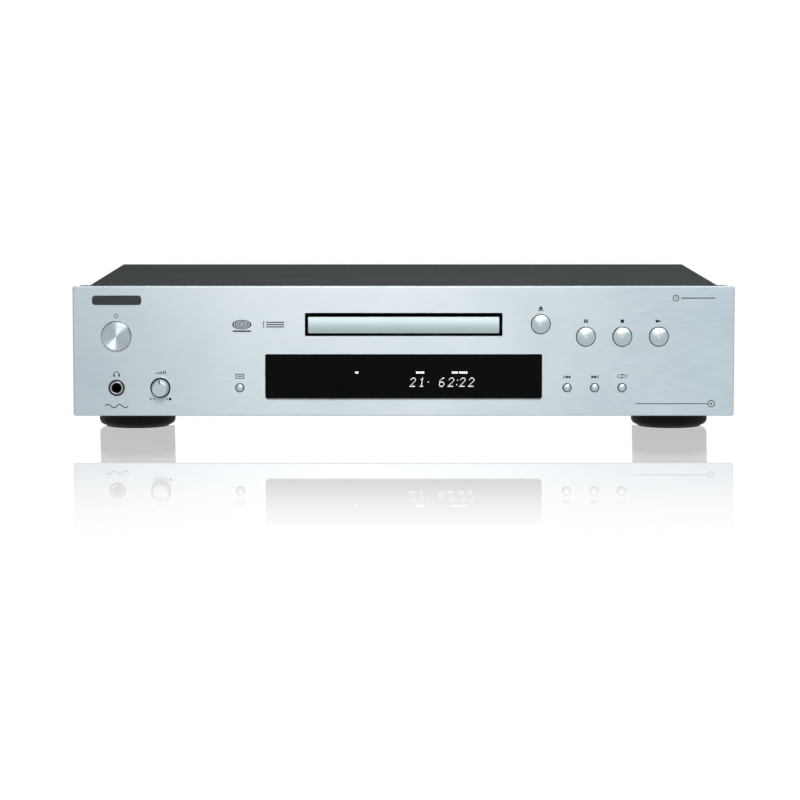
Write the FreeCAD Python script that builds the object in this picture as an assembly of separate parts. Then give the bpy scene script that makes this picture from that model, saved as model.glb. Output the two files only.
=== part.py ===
import FreeCAD, Part
import math
import os

# A full-width hi-fi CD player. Millimetres, +Z up, +X to the right seen from the front.
# The front faces -Y. The origin is on the floor, under the middle of the whole outline.

V = FreeCAD.Vector

# ---- Driving dimensions -------------------------------------------------------------

WIDTH = 435.0            # across the front panel
HEIGHT = 101.0           # floor to top edge
DEPTH = 307.0            # nose of the level knob to the tips of the audio jacks

KNOB_REACH = 10.5        # how far the level knob stands out of the front panel
JACK_REACH = 10.0        # how far the audio jacks stand out of the rear panel
PANEL_T = 4.0            # thickness of the aluminium front panel
PANEL_BOTTOM = 15.6      # lower edge of the front panel
FRAME_T = 2.5            # wall of the moulded front frame
FRAME_DEPTH = 16.0
SHEET_T = 1.0            # steel sheet of the cover, base and rear panel
COVER_WIDTH = 419.0
PAD_T = 1.0              # soft pad under each foot
TRAVERSE_DROP = 5.5      # degrees that the traverse hangs down while the tray is free to move
CAM_TRAVEL = 24.0
PICKUP_TRAVEL = 35.0

# ---- Planes along Y -------------------------------------------------------------------

FRONT = -DEPTH / 2 + KNOB_REACH
REAR = DEPTH / 2 - JACK_REACH
PANEL_BACK = FRONT + PANEL_T
WALL_BACK = PANEL_BACK + FRAME_T
FRAME_BACK = PANEL_BACK + FRAME_DEPTH
COVER_FRONT = FRAME_BACK + 0.2
BOARD_FRONT = FRAME_BACK - 3.6
BOARD_T = 1.6
BOARD_BACK = BOARD_FRONT + BOARD_T
SWITCH_TIP = BOARD_FRONT - 5.0

# ---- Levels along Z -------------------------------------------------------------------

BASE_BOTTOM = 16.5
FLOOR = BASE_BOTTOM + SHEET_T
COVER_TOP = HEIGHT - 0.5
BOARD_LEVEL = FLOOR + 8.0

# ---- Front panel layout, as (x, z) ----------------------------------------------------

POWER_AT = (-189.0, 68.2)
PHONES_AT = (-189.0, 34.1)
LEVEL_AT = (-160.2, 34.1)
ROUND_BUTTONS = {
    "eject_button": (90.1, 76.1),
    "pause_button": (119.8, 67.9),
    "stop_button": (143.8, 67.9),
    "play_button": (167.8, 67.9),
}
SMALL_BUTTONS = {
    "display_button": (-107.9, 34.2),
    "previous_button": (107.6, 34.2),
    "next_button": (125.8, 34.2),
    "repeat_button": (143.8, 34.2),
}
POWER_R = 9.6
POWER_HOLE_R = 10.05
ROUND_R = 6.0
ROUND_HOLE_R = 6.65
SMALL_R = 2.3
SMALL_HOLE_R = 2.6
SMALL_BEVEL_R = 3.2
KNOB_R = 5.9
KNOB_NOSE_R = 4.9
KNOB_HOLE_R = 6.75
PHONES_HOLE_R = 5.45
PLUG_BORE_R = 3.25       # takes a 6.35 mm headphone plug
BUTTON_GAP = 0.35        # running room between a button and the moulded frame behind it

SLOT_X = 65.0
SLOT_Z = (68.2, 83.6)
DOOR_X = 62.8
DOOR_Z = (70.1, 80.8)
WINDOW_X = 91.2
WINDOW_Z = (27.1, 56.4)
WINDOW_GAP = 0.3
FRONT_BOSSES = [(x, z) for x in (-205.0, -80.0, 80.0, 205.0) for z in (24.0, 92.0)]

# ---- Disc drive -----------------------------------------------------------------------

TRAY_X = 62.3            # half width of the disc tray
TRAY_FRONT = PANEL_BACK
TRAY_LENGTH = 186.0
TRAY_Z = (73.6, 79.6)
DISC_R = 60.5            # recess for a 120 mm disc
SMALL_DISC_R = 40.5      # recess for an 80 mm disc
DISC_Y = TRAY_FRONT + 12.0 + DISC_R
DISC_FLOOR = 76.6
SMALL_DISC_FLOOR = 75.2
LASER_SLOT_X = 21.0
HUB_TOP = 79.2           # face that carries the disc while it plays
PUCK_BOTTOM = 80.5
LOADER_FRONT = FRAME_BACK + 4.0
LOADER_BACK = 58.0
LOADER_X = 70.0
RAIL_X = 66.3
LOADER_TOP = 86.0
PIVOT_Y = 48.0
PIVOT_Z = 58.0
PIVOT_R = 2.0
PIVOT_ROOM = 0.06
PLATE_Z = (67.0, 70.0)   # traverse plate while a disc plays
ROD_X = 25.0
ROD_Z = 63.5
ROD_R = 1.5
LENS_START = 23.0        # lens radius at the first track
GEAR_Y = -106.0
GEAR_MODULE = 1.0
TRAY_GEAR_TEETH = 20
PINION_TEETH = 10
RACK_X = -49.0           # pitch line of the rack under the tray
TRAY_GEAR_X = RACK_X + TRAY_GEAR_TEETH * GEAR_MODULE / 2
PULLEY_X = TRAY_GEAR_X + (TRAY_GEAR_TEETH + PINION_TEETH) * GEAR_MODULE / 2
MOTOR_X = -50.0
PULLEY_R = 10.0
MOTOR_PULLEY_R = 4.0
SLED_MODULE = 0.5
SLED_TEETH = 32
SLED_PINION_TEETH = 12
SLED_RACK_X = 31.0
SLED_GEAR_X = SLED_RACK_X + SLED_TEETH * SLED_MODULE / 2
SLED_GEAR_Y = -10.0
SLED_PINION_Y = SLED_GEAR_Y + (SLED_TEETH + SLED_PINION_TEETH) * SLED_MODULE / 2
CAM_PIN_X = 10.0
CAM_PIN_Z = 64.0
CAM_PIN_R = 1.5

# ---- Screws: radii of shanks and of the holes that they go through or grip in ----------

M4_HOLE_R = 2.1
M3_HOLE_R = 1.7
M3_FILL_R = 1.68         # shank that fills an M3 hole
PANEL_HOLE_R = 1.5
PANEL_SHANK_R = 1.48
POST_HOLE_R = 1.45
POST_SHANK_R = 1.43
BOSS_HOLE_R = 1.3
BOSS_SHANK_R = 1.28
RECESS_W = 0.8           # width of the cross or slot in a small head

# ---- Feet -----------------------------------------------------------------------------

FOOT_X = 182.7
FOOT_Y = (FRONT + 93.0, REAR - 36.0)
FOOT_R = 26.0
FOOT_ROUND = 4.0         # rounding of the foot's lower edge
FOOT_PAD_R = 21.5
FOOT_SEAT_Z = BASE_BOTTOM - 4.0      # where the screw's head pulls the foot up


# ---- Shape helpers --------------------------------------------------------------------

def box(x, y, z):
    """Box from its (low, high) span along each axis."""
    return Part.makeBox(x[1] - x[0], y[1] - y[0], z[1] - z[0], V(x[0], y[0], z[0]))


def around(centre, width):
    """Span of a width about its centre."""
    return centre - width / 2, centre + width / 2


def disc_x(y, z, radius, x0, x1):
    """Cylinder along X."""
    return Part.makeCylinder(radius, x1 - x0, V(x0, y, z), V(1, 0, 0))


def disc_y(at, radius, y0, y1):
    """Cylinder along Y at an (x, z) place on the front or rear."""
    return Part.makeCylinder(radius, y1 - y0, V(at[0], y0, at[1]), V(0, 1, 0))


def disc_z(at, radius, z0, z1):
    """Cylinder along Z at an (x, y) place."""
    return Part.makeCylinder(radius, z1 - z0, V(at[0], at[1], z0), V(0, 0, 1))


def ring_y(at, outer, inner, y0, y1):
    """Plain ring with its axis along Y."""
    return disc_y(at, outer, y0, y1).cut(disc_y(at, inner, y0 - 1, y1 + 1))


def ring_z(at, outer, inner, z0, z1):
    """Plain ring with its axis along Z."""
    return disc_z(at, outer, z0, z1).cut(disc_z(at, inner, z0 - 1, z1 + 1))


def cone_y(at, radius0, radius1, y0, y1):
    """Cone along Y from radius0 at y0 to radius1 at y1."""
    return Part.makeCone(radius0, radius1, y1 - y0, V(at[0], y0, at[1]), V(0, 1, 0))


def join(*shapes):
    """One solid from touching shapes."""
    return shapes[0].fuse(list(shapes[1:])).removeSplitter()


def cut(shape, *tools):
    """The shape with every tool taken away."""
    return shape.cut(list(tools))


def group(shapes):
    """Separate solids kept together in one node."""
    return Part.makeCompound(list(shapes))


def is_along(edge, axis):
    """True for a straight edge that runs along the named axis."""
    if not isinstance(edge.Curve, Part.Line):
        return False
    return abs(edge.Curve.Direction.dot(axis)) > 0.999


def round_edges(shape, axis, radius, keep=lambda centre: True):
    """Fillet the straight edges along an axis whose middle passes the test."""
    edges = [e for e in shape.Edges if is_along(e, axis) and keep(e.CenterOfMass)]
    return shape.makeFillet(radius, edges)


def round_rim(shape, radius, keep):
    """Fillet every edge whose middle passes the test."""
    return shape.makeFillet(radius, [e for e in shape.Edges if keep(e.CenterOfMass)])


def soft_box(x, y, z, axis, radius):
    """Box with its four edges along one axis rounded."""
    return round_edges(box(x, y, z), axis, radius)


def swept_outline(points, axis_shift, place):
    """Straight extrusion of a closed outline; place turns (u, v) into a point."""
    wire = Part.makePolygon([place(u, v) for u, v in points + points[:1]])
    return Part.Face(wire).extrude(axis_shift)


def mirrored_x(shape):
    """The same shape on the other side of the middle plane."""
    return shape.mirror(V(0, 0, 0), V(1, 0, 0))


X_AXIS = V(1, 0, 0)
Y_AXIS = V(0, 1, 0)
Z_AXIS = V(0, 0, 1)


# ---- Front panel and what is set in it ------------------------------------------------

def front_holes():
    """Every round hole in the aluminium front panel, as (place, radius)."""
    holes = [(POWER_AT, POWER_HOLE_R), (PHONES_AT, PHONES_HOLE_R), (LEVEL_AT, KNOB_HOLE_R)]
    holes += [(at, ROUND_HOLE_R) for at in ROUND_BUTTONS.values()]
    holes += [(at, SMALL_HOLE_R) for at in SMALL_BUTTONS.values()]
    return holes


def front_panel():
    """Brushed aluminium plate with rounded corners and a softened rim."""
    corner_r = 1.6
    rim_r = 0.7
    opening_r = 1.0
    bevel_depth = 0.8
    lip_depth = 1.3
    lip_height = 1.2
    plate = box((-WIDTH / 2, WIDTH / 2), (FRONT, PANEL_BACK), (PANEL_BOTTOM, HEIGHT))
    plate = round_edges(plate, Y_AXIS, corner_r)
    plate = round_rim(plate, rim_r, lambda c: c.y < FRONT + 0.01)
    through = (FRONT - 1, PANEL_BACK + 1)
    slot = soft_box((-SLOT_X, SLOT_X), through, SLOT_Z, Y_AXIS, opening_r)
    window = soft_box((-WINDOW_X, WINDOW_X), through, WINDOW_Z, Y_AXIS, opening_r)
    tools = [slot, window]
    tools += [disc_y(at, radius, *through) for at, radius in front_holes()]
    for at in SMALL_BUTTONS.values():
        tools.append(cone_y(at, SMALL_BEVEL_R, SMALL_HOLE_R, FRONT, FRONT + bevel_depth))
    lip = [(0, -lip_height), (lip_depth, 0), (0, 0)]
    tools.append(swept_outline(
        lip, V(2 * WINDOW_X - 2, 0, 0),
        lambda u, v: V(-WINDOW_X + 1, FRONT + u, WINDOW_Z[0] + v)))
    return cut(plate, *tools)


def front_frame():
    """Black moulding behind the front panel: a shallow open-backed box with guide holes."""
    outer_x = WIDTH / 2 - 2.5
    outer_z = (PANEL_BOTTOM + 1.0, HEIGHT - 0.4)
    corner_r = 1.6
    boss_r = 3.0
    window_ledge = (2.0, 1.5)
    shell = soft_box((-outer_x, outer_x), (PANEL_BACK, FRAME_BACK), outer_z, Y_AXIS, corner_r)
    hollow = box((-outer_x + FRAME_T, outer_x - FRAME_T), (WALL_BACK, FRAME_BACK + 1),
                 (outer_z[0] + FRAME_T, outer_z[1] - FRAME_T))
    shell = cut(shell, hollow)
    bosses = [disc_y(at, boss_r, WALL_BACK - 0.5, BOARD_FRONT) for at in FRONT_BOSSES]
    shell = join(shell, *bosses)
    through = (PANEL_BACK - 1, WALL_BACK + 1)
    tools = [
        box((-SLOT_X, SLOT_X), through, SLOT_Z),
        box((-WINDOW_X + window_ledge[0], WINDOW_X - window_ledge[0]), through,
            (WINDOW_Z[0] + window_ledge[1], WINDOW_Z[1] - window_ledge[1])),
        disc_y(POWER_AT, POWER_R + BUTTON_GAP, *through),
        disc_y(PHONES_AT, PHONES_HOLE_R - 0.15, *through),
        disc_y(LEVEL_AT, KNOB_R + BUTTON_GAP, *through),
    ]
    tools += [disc_y(at, ROUND_R + BUTTON_GAP, *through) for at in ROUND_BUTTONS.values()]
    tools += [disc_y(at, SMALL_R + BUTTON_GAP, *through) for at in SMALL_BUTTONS.values()]
    tools += [disc_y(at, BOSS_HOLE_R, BOARD_FRONT - 7.0, FRAME_BACK) for at in FRONT_BOSSES]
    return cut(shell, *tools)


def display_window():
    """Dark gloss acrylic, set a little below the panel's face."""
    inset = 0.5
    x = WINDOW_X - WINDOW_GAP
    z = (WINDOW_Z[0] + WINDOW_GAP, WINDOW_Z[1] - WINDOW_GAP)
    pane = soft_box((-x, x), (FRONT + inset, PANEL_BACK), z, Y_AXIS, 0.8)
    return round_rim(pane, 0.3, lambda c: c.y < FRONT + inset + 0.01)


def badge_plate():
    """Small blank plate glued to the panel's upper left corner."""
    at = (-188.5, 91.9)
    width, height, thick = 32.4, 6.2, 0.6
    plate = soft_box(around(at[0], width), (FRONT - thick, FRONT), around(at[1], height),
                     Y_AXIS, 2.2)
    return round_rim(plate, 0.25, lambda c: c.y < FRONT - thick + 0.01)


FLANGE_Y = (WALL_BACK + 0.3, WALL_BACK + 1.7)
FLANGE_RIM = 1.2         # how far a button's flange stands out of its barrel
STEM_R = 1.5


def push_button(at, radius, reach, crown, stem_gap):
    """Turned button: crowned face, flange behind the frame's wall, stem to its switch."""
    face = FRONT - reach
    end = SWITCH_TIP - stem_gap
    sphere_r = (radius ** 2 + crown ** 2) / (2 * crown)
    half_way = face + sphere_r - math.sqrt(sphere_r ** 2 - (radius / 2) ** 2)
    flange_r = radius + FLANGE_RIM
    corners = [(radius, face + crown), (radius, FLANGE_Y[0]), (flange_r, FLANGE_Y[0]),
               (flange_r, FLANGE_Y[1]), (STEM_R, FLANGE_Y[1]), (STEM_R, end),
               (0.0, end), (0.0, face)]
    corners = [V(at[0] + r, y, at[1]) for r, y in corners]
    crown_arc = Part.Arc(corners[-1], V(at[0] + radius / 2, half_way, at[1]), corners[0])
    outline = Part.Wire([crown_arc.toShape()] + Part.makePolygon(corners).Edges)
    return Part.Face(outline).revolve(V(at[0], 0, at[1]), Y_AXIS, 360)


def power_button():
    """Flat-faced button with a broad chamfer and a shallow dish."""
    reach = 2.6
    rim = 0.8
    dish_depth = 0.2
    face = FRONT - reach
    barrel = disc_y(POWER_AT, POWER_R, face + rim, WALL_BACK + 1.0)
    chamfer = cone_y(POWER_AT, POWER_R - rim, POWER_R, face, face + rim)
    flange = disc_y(POWER_AT, POWER_R + FLANGE_RIM, *FLANGE_Y)
    stem = disc_y(POWER_AT, STEM_R, WALL_BACK + 1.0, SWITCH_TIP - 1.0)
    dish_r = 160.0
    dish = Part.makeSphere(dish_r, V(POWER_AT[0], face - dish_r + dish_depth, POWER_AT[1]))
    return cut(join(chamfer, barrel, flange, stem), dish)


SHAFT_R = 3.0
SHAFT_START = 2.5        # from the knob's nose to the end of its shaft


def level_knob():
    """Tapered knob with a pointer groove at the top and a blind hole for the shaft."""
    nose = FRONT - KNOB_REACH
    groove_w = 0.8
    groove_depth = 0.35
    x, z = LEVEL_AT
    body = cone_y(LEVEL_AT, KNOB_NOSE_R, KNOB_R, nose, FRONT + 0.6)
    body = body.makeFillet(0.8, [e for e in body.Edges if abs(e.CenterOfMass.y - nose) < 0.01])
    skirt = disc_y(LEVEL_AT, KNOB_R, FRONT + 0.6, FRONT + 5.0)
    bore = disc_y(LEVEL_AT, SHAFT_R, nose + SHAFT_START, FRONT + 6.0)
    groove = box(around(x, groove_w), (nose - 1, FRONT + 0.2),
                 (z + KNOB_NOSE_R - 0.5, z + KNOB_R + 1))
    face_line = box(around(x, groove_w), (nose - 1, nose + groove_depth),
                    (z + 1.2, z + KNOB_R + 1))
    return cut(join(body, skirt), bore, groove, face_line)


def level_shaft():
    """Steel shaft of the volume control, pressed into the knob."""
    return disc_y(LEVEL_AT, SHAFT_R, FRONT - KNOB_REACH + SHAFT_START, BOARD_FRONT - 1.5)


def level_control():
    """Rotary volume control for the headphones: a square can with a threaded bush."""
    x, z = LEVEL_AT
    width, height, depth = 12.0, 11.0, 6.0
    bush_r = 4.4
    can = soft_box(around(x, width), (BOARD_FRONT - depth, BOARD_FRONT), around(z, height),
                   Y_AXIS, 0.6)
    bush = disc_y(LEVEL_AT, bush_r, WALL_BACK + 2.6, BOARD_FRONT - depth)
    pins = [box(around(x + dx, 0.8), (BOARD_FRONT - depth / 2, BOARD_FRONT),
                (z - height / 2 - 3.0, z - height / 2)) for dx in (-4.0, 0.0, 4.0)]
    bore = disc_y(LEVEL_AT, SHAFT_R + 0.05, WALL_BACK, BOARD_FRONT - 1.2)
    return cut(join(can, bush, *pins), bore)


RING_R = 4.3
RING_BACK = 2.4


def phones_socket():
    """Moulded body of the 6.35 mm headphone socket."""
    width, height, length = 14.0, 15.0, 36.0
    nose = disc_y(PHONES_AT, PHONES_HOLE_R - 0.25, FRONT + 0.4, WALL_BACK + 1.0)
    body = soft_box(around(PHONES_AT[0], width), (WALL_BACK + 0.2, FRONT + length),
                    around(PHONES_AT[1], height), Y_AXIS, 1.0)
    bore = disc_y(PHONES_AT, PLUG_BORE_R, FRONT - 1, FRONT + length - 3.0)
    seat = disc_y(PHONES_AT, RING_R, FRONT - 1, FRONT + RING_BACK)
    return cut(join(nose, body), bore, seat)


def socket_ring():
    """Chromed ring around the mouth of the headphone socket."""
    ring = ring_y(PHONES_AT, RING_R, PLUG_BORE_R, FRONT - 0.5, FRONT + RING_BACK)
    return ring.makeFillet(0.35, [e for e in ring.Edges if e.CenterOfMass.y < FRONT - 0.4])


def front_board():
    """Control board behind the buttons, notched for the disc drive and the socket."""
    half = 208.0
    bottom, top = 21.5, 95.0
    notch_bottom = 64.5
    notch_x = LOADER_X + 4.0
    board = box((-half, half), (BOARD_FRONT, BOARD_BACK), (bottom, top))
    through = (BOARD_FRONT - 1, BOARD_BACK + 1)
    notch = box((-notch_x, notch_x), through, (notch_bottom, top + 1))
    socket_hole = box(around(PHONES_AT[0], 16.0), through, around(PHONES_AT[1], 17.0))
    screws = [disc_y(at, 1.6, *through) for at in FRONT_BOSSES]
    return cut(board, notch, socket_hole, *screws)


def front_switches():
    """One small push switch on the board behind each button."""
    places = [POWER_AT] + list(ROUND_BUTTONS.values()) + list(SMALL_BUTTONS.values())
    side = 6.0
    plunger_r = 1.7
    top = BOARD_FRONT - 3.8
    switches = []
    for at in places:
        body = box(around(at[0], side), (top, BOARD_FRONT), around(at[1], side))
        switches.append(join(body, disc_y(at, plunger_r, SWITCH_TIP, top)))
    return group(switches)


TUBE_X = (-52.0, 60.0)
TUBE_Z = (29.5, 54.0)
HOLDER_T = 1.5           # the cradle between the display tube and the board


def display_tube():
    """Flat glass display tube behind the window."""
    tube = soft_box(TUBE_X, (WALL_BACK + 0.5, BOARD_FRONT - HOLDER_T), TUBE_Z, Y_AXIS, 1.5)
    tip = disc_x(WALL_BACK + 4.0, 41.0, 1.6, TUBE_X[1] - 1.0, TUBE_X[1] + 4.0)
    return join(tube, tip)


def display_holder():
    """Moulded cradle that carries the display tube on the board."""
    outer = box((TUBE_X[0] - 4.0, TUBE_X[1] + 8.0), (BOARD_FRONT - HOLDER_T, BOARD_FRONT),
                (TUBE_Z[0] - 2.0, TUBE_Z[1] + 2.0))
    opening = box((TUBE_X[0] + 6.0, TUBE_X[1] - 6.0), (BOARD_FRONT - 2.0, BOARD_FRONT + 1),
                  (TUBE_Z[0] + 4.5, TUBE_Z[1] - 4.0))
    return cut(outer, opening)


def remote_sensor():
    """Infrared receiver behind the left end of the window."""
    at = (-74.0, 42.0)
    face = BOARD_FRONT - 4.5
    body = box(around(at[0], 7.0), (face, BOARD_FRONT), around(at[1], 8.0))
    return join(body, Part.makeSphere(2.6, V(at[0], face, at[1])))


# ---- Case: cover, base, rear panel, feet ----------------------------------------------

COVER_X = COVER_WIDTH / 2
BASE_X = COVER_X - SHEET_T - 0.3
PANEL_FACE = REAR - SHEET_T          # outer face of the rear panel, under the cover's lip
PANEL_INNER = PANEL_FACE - SHEET_T
SIDE_SCREWS = [(sign * COVER_X, y) for sign in (-1, 1) for y in (-70.0, 95.0)]
SIDE_SCREW_Z = 26.0
LIP_SCREWS = (-150.0, 0.0, 150.0)
LIP_SCREW_Z = 94.5
LIP_HEIGHT = 11.0
FOOT_PLACES = [(x, y) for x in (-FOOT_X, FOOT_X) for y in FOOT_Y]
VENTS = [(sign, y) for sign in (-1, 1) for y in range(-40, 61, 10)]


def top_cover():
    """Steel cover folded over the top and both sides, with a lip down the back."""
    outer = box((-COVER_X, COVER_X), (COVER_FRONT, REAR), (FLOOR, COVER_TOP))
    outer = round_edges(outer, Y_AXIS, 2.2, lambda c: c.z > HEIGHT / 2)
    inner_x = COVER_X - SHEET_T
    inner = box((-inner_x, inner_x), (COVER_FRONT - 1, PANEL_FACE), (0.0, COVER_TOP - SHEET_T))
    inner = round_edges(inner, Y_AXIS, 1.2, lambda c: c.z > HEIGHT / 2)
    below_lip = box((-inner_x, inner_x), (PANEL_FACE - 1, REAR + 1), (0.0, COVER_TOP - LIP_HEIGHT))
    shell = cut(outer, inner, below_lip)
    holes = [disc_x(y, SIDE_SCREW_Z, M4_HOLE_R, x - 2.0, x + 2.0) for x, y in SIDE_SCREWS]
    holes += [disc_y((x, LIP_SCREW_Z), M3_HOLE_R, PANEL_FACE - 1, REAR + 1) for x in LIP_SCREWS]
    return cut(shell, *holes)


def base_stamping():
    """Floor, side flanges and front flange of the base, folded from one sheet."""
    side_top = FLOOR + 16.0
    front_top = FLOOR + 3.5
    floor = box((-BASE_X, BASE_X), (COVER_FRONT, PANEL_INNER), (BASE_BOTTOM, FLOOR))
    side = box((BASE_X - SHEET_T, BASE_X), (COVER_FRONT, PANEL_INNER), (FLOOR, side_top))
    front = box((-BASE_X + SHEET_T, BASE_X - SHEET_T), (COVER_FRONT, COVER_FRONT + SHEET_T),
                (FLOOR, front_top))
    return join(floor, side, mirrored_x(side), front)


def chassis_base():
    """Steel base with board posts, cooling slots and holes for the screws."""
    base = join(base_stamping(), *board_posts())
    through = (BASE_BOTTOM - 1, FLOOR + 1)
    vent_x, vent_length, vent_width = 120.0, 34.0, 3.0
    tools = [disc_z(at, M4_HOLE_R, *through) for at in FOOT_PLACES]
    tools += [disc_z(at, M3_HOLE_R, *through) for at in LOADER_LEGS + transformer_bolts()]
    tools += [disc_z(at, POST_HOLE_R, FLOOR + 1.0, BOARD_LEVEL + 1)
              for at in every_board_corner()]
    for sign, y in VENTS:
        slot = box(around(sign * vent_x, vent_length), around(y, vent_width), through)
        tools.append(round_edges(slot, Z_AXIS, 1.4))
    for x, y in SIDE_SCREWS:
        tools.append(disc_x(y, SIDE_SCREW_Z, M3_HOLE_R, x - 6.0, x + 6.0))
    return cut(base, *tools)


def cover_screws():
    """Pan-head screws of the cover: two in each side and three in the rear lip."""
    head_r, head_t, reach = 3.6, 1.8, 6.0
    screws = []
    for x, y in SIDE_SCREWS:
        if x < 0:
            continue
        top = x + head_t
        head = disc_x(y, SIDE_SCREW_Z, head_r, x, top)
        head = head.makeFillet(head_t / 2, [e for e in head.Edges if abs(e.CenterOfMass.x - top) < 0.01])
        shank = disc_x(y, SIDE_SCREW_Z, M3_FILL_R, x - reach, x + 0.5)
        recess = cross_x(top, y, SIDE_SCREW_Z)
        screw = cut(join(head, shank), recess)
        screws += [screw, mirrored_x(screw)]
    for x in LIP_SCREWS:
        screws.append(screw_y((x, LIP_SCREW_Z), 3.0, 1.6, PANEL_SHANK_R, REAR, -6.0))
    return screws


def cross_x(face_x, y, z):
    """Cross recess cut into a head that faces +X."""
    depth = (face_x - 1.1, face_x + 1)
    length, width = 3.6, 0.9
    long_bar = box(depth, around(y, length), around(z, width))
    short_bar = box(depth, around(y, width), around(z, length))
    return join(long_bar, short_bar)


def screw_y(at, head_r, head_t, shank_r, face_y, reach):
    """Pan-head screw on a rear-facing surface, its shank reaching inwards by -reach."""
    top = face_y + head_t
    recess = (top - 0.9, top + 1)
    length = head_r * 1.1
    head = disc_y(at, head_r, face_y, top)
    head = head.makeFillet(head_t * 0.45,
                           [e for e in head.Edges if abs(e.CenterOfMass.y - top) < 0.01])
    shank = disc_y(at, shank_r, face_y + reach, face_y + 0.3)
    wide = box(around(at[0], length), recess, around(at[1], RECESS_W))
    tall = box(around(at[0], RECESS_W), recess, around(at[1], length))
    return cut(join(head, shank), join(wide, tall))


# Rear panel layout, as (x, z)
AUDIO_JACKS = {"right": (128.0, 44.0), "left": (128.0, 62.0), "coaxial": (168.0, 62.0)}
OPTICAL_AT = (168.0, 43.0)
CONTROL_AT = (101.0, 53.0)
INLET_AT = (-150.0, 50.0)
INLET_SIZE = (27.0, 19.0)
JACK_HOLE_R = 4.6
INLET_FLANGE_T = 2.0
BLOCK_SCREW = (148.0, 53.0)
INLET_SCREWS = [(-172.0, 50.0), (-128.0, 50.0)]
PANEL_CORNERS = [(x, z) for x in (-195.0, 195.0) for z in (34.0, 84.0)]


def rear_panel():
    """Steel rear panel with the openings for the jacks, the inlet and its screws."""
    half = BASE_X - 0.2
    optical_side = 10.4
    control_hole_r = 3.3
    inlet_play = 0.6
    vent_x, vent_step, vent_width = -20.0, 6.0, 2.6
    vent_z = (66.0, 82.0)
    plate = box((-half, half), (PANEL_INNER, PANEL_FACE), (BASE_BOTTOM, COVER_TOP - SHEET_T - 0.2))
    through = (PANEL_INNER - 1, PANEL_FACE + 1)
    tools = [disc_y(at, JACK_HOLE_R, *through) for at in AUDIO_JACKS.values()]
    tools.append(box(around(OPTICAL_AT[0], optical_side), through,
                     around(OPTICAL_AT[1], optical_side)))
    tools.append(disc_y(CONTROL_AT, control_hole_r, *through))
    inlet = box(around(INLET_AT[0], INLET_SIZE[0] + inlet_play), through,
                around(INLET_AT[1], INLET_SIZE[1] + inlet_play))
    tools.append(round_edges(inlet, Y_AXIS, 2.0))
    screw_places = [BLOCK_SCREW] + INLET_SCREWS + PANEL_CORNERS
    screw_places += [(x, LIP_SCREW_Z) for x in LIP_SCREWS]
    tools += [disc_y(at, PANEL_HOLE_R, *through) for at in screw_places]
    for column in range(-7, 8):
        slot = box(around(column * vent_step + vent_x, vent_width), through, vent_z)
        tools.append(round_edges(slot, Y_AXIS, 1.2))
    return cut(plate, *tools)


def panel_screws():
    """Small screws that hold the jacks, the inlet and the rear panel."""
    head_r, head_t = 2.6, 1.5
    screws = [screw_y(at, head_r, head_t, PANEL_SHANK_R, PANEL_FACE, -5.0)
              for at in [BLOCK_SCREW] + PANEL_CORNERS]
    screws += [screw_y(at, head_r, head_t, PANEL_SHANK_R, PANEL_FACE + INLET_FLANGE_T, -6.0)
               for at in INLET_SCREWS]
    return screws


def foot(at):
    """Turned plastic foot with a rounded lower edge and a hole for its screw."""
    body = disc_z(at, FOOT_R, PAD_T, BASE_BOTTOM)
    body = round_rim(body, FOOT_ROUND, lambda c: c.z < PAD_T + 0.01)
    seat = disc_z(at, 7.0, PAD_T - 1, FOOT_SEAT_Z)
    return cut(body, seat, disc_z(at, M4_HOLE_R, 0.0, BASE_BOTTOM + 1))


def foot_pads():
    """Soft ring under each foot."""
    return group([ring_z(at, FOOT_PAD_R, 8.0, 0.0, PAD_T) for at in FOOT_PLACES])


def foot_screws():
    """Screw and nut that hold each foot to the base, the head up inside the foot."""
    head_r, head_t, nut_t = 3.6, 2.2, 2.6
    shank_r = 1.98
    bottom = FOOT_SEAT_Z - head_t
    screws = []
    for at in FOOT_PLACES:
        head = disc_z(at, head_r, bottom, FOOT_SEAT_Z)
        shank = disc_z(at, shank_r, FOOT_SEAT_Z - 0.5, FLOOR + 4.0)
        nut = disc_z(at, head_r, FLOOR, FLOOR + nut_t)
        slot = box(around(at[0], 5.0), around(at[1], 0.9), (bottom - 0.8, bottom + 0.9))
        screws.append(cut(join(head, shank, nut), slot))
    return screws


# ---- Rear connectors ------------------------------------------------------------------

COLLAR_REACH = 1.2       # how far the block's collars stand out of the rear panel
SLEEVE_R = 3.9
SLEEVE_NOSE_R = 4.15     # the standard phono jack is 8.3 mm across
CORE_R = 3.2
CORE_BACK = PANEL_FACE - 9.0
JACK_TIP = REAR + JACK_REACH


def jack_block():
    """Moulded block that carries the phono jacks, standing on the audio board."""
    depth = 14.0
    top = 74.0
    behind = PANEL_INNER - depth - 1
    body = box((118.0, 178.0), (PANEL_INNER - depth, PANEL_INNER), (BOARD_LEVEL + BOARD_T, top))
    optical_room = box(around(OPTICAL_AT[0], 13.0), (behind, PANEL_INNER + 1),
                       (BOARD_LEVEL + 1.0, OPTICAL_AT[1] + 6.6))
    body = cut(body, optical_room)
    collars = [disc_y(at, JACK_HOLE_R - 0.2, PANEL_INNER - 0.5, PANEL_FACE + COLLAR_REACH)
               for at in AUDIO_JACKS.values()]
    bores = [disc_y(at, SLEEVE_R, behind, PANEL_FACE + 2) for at in AUDIO_JACKS.values()]
    screw_hole = disc_y(BLOCK_SCREW, PANEL_HOLE_R, PANEL_INNER - 6.0, PANEL_FACE + 1)
    return cut(join(body, *collars), *bores, screw_hole)


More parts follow.
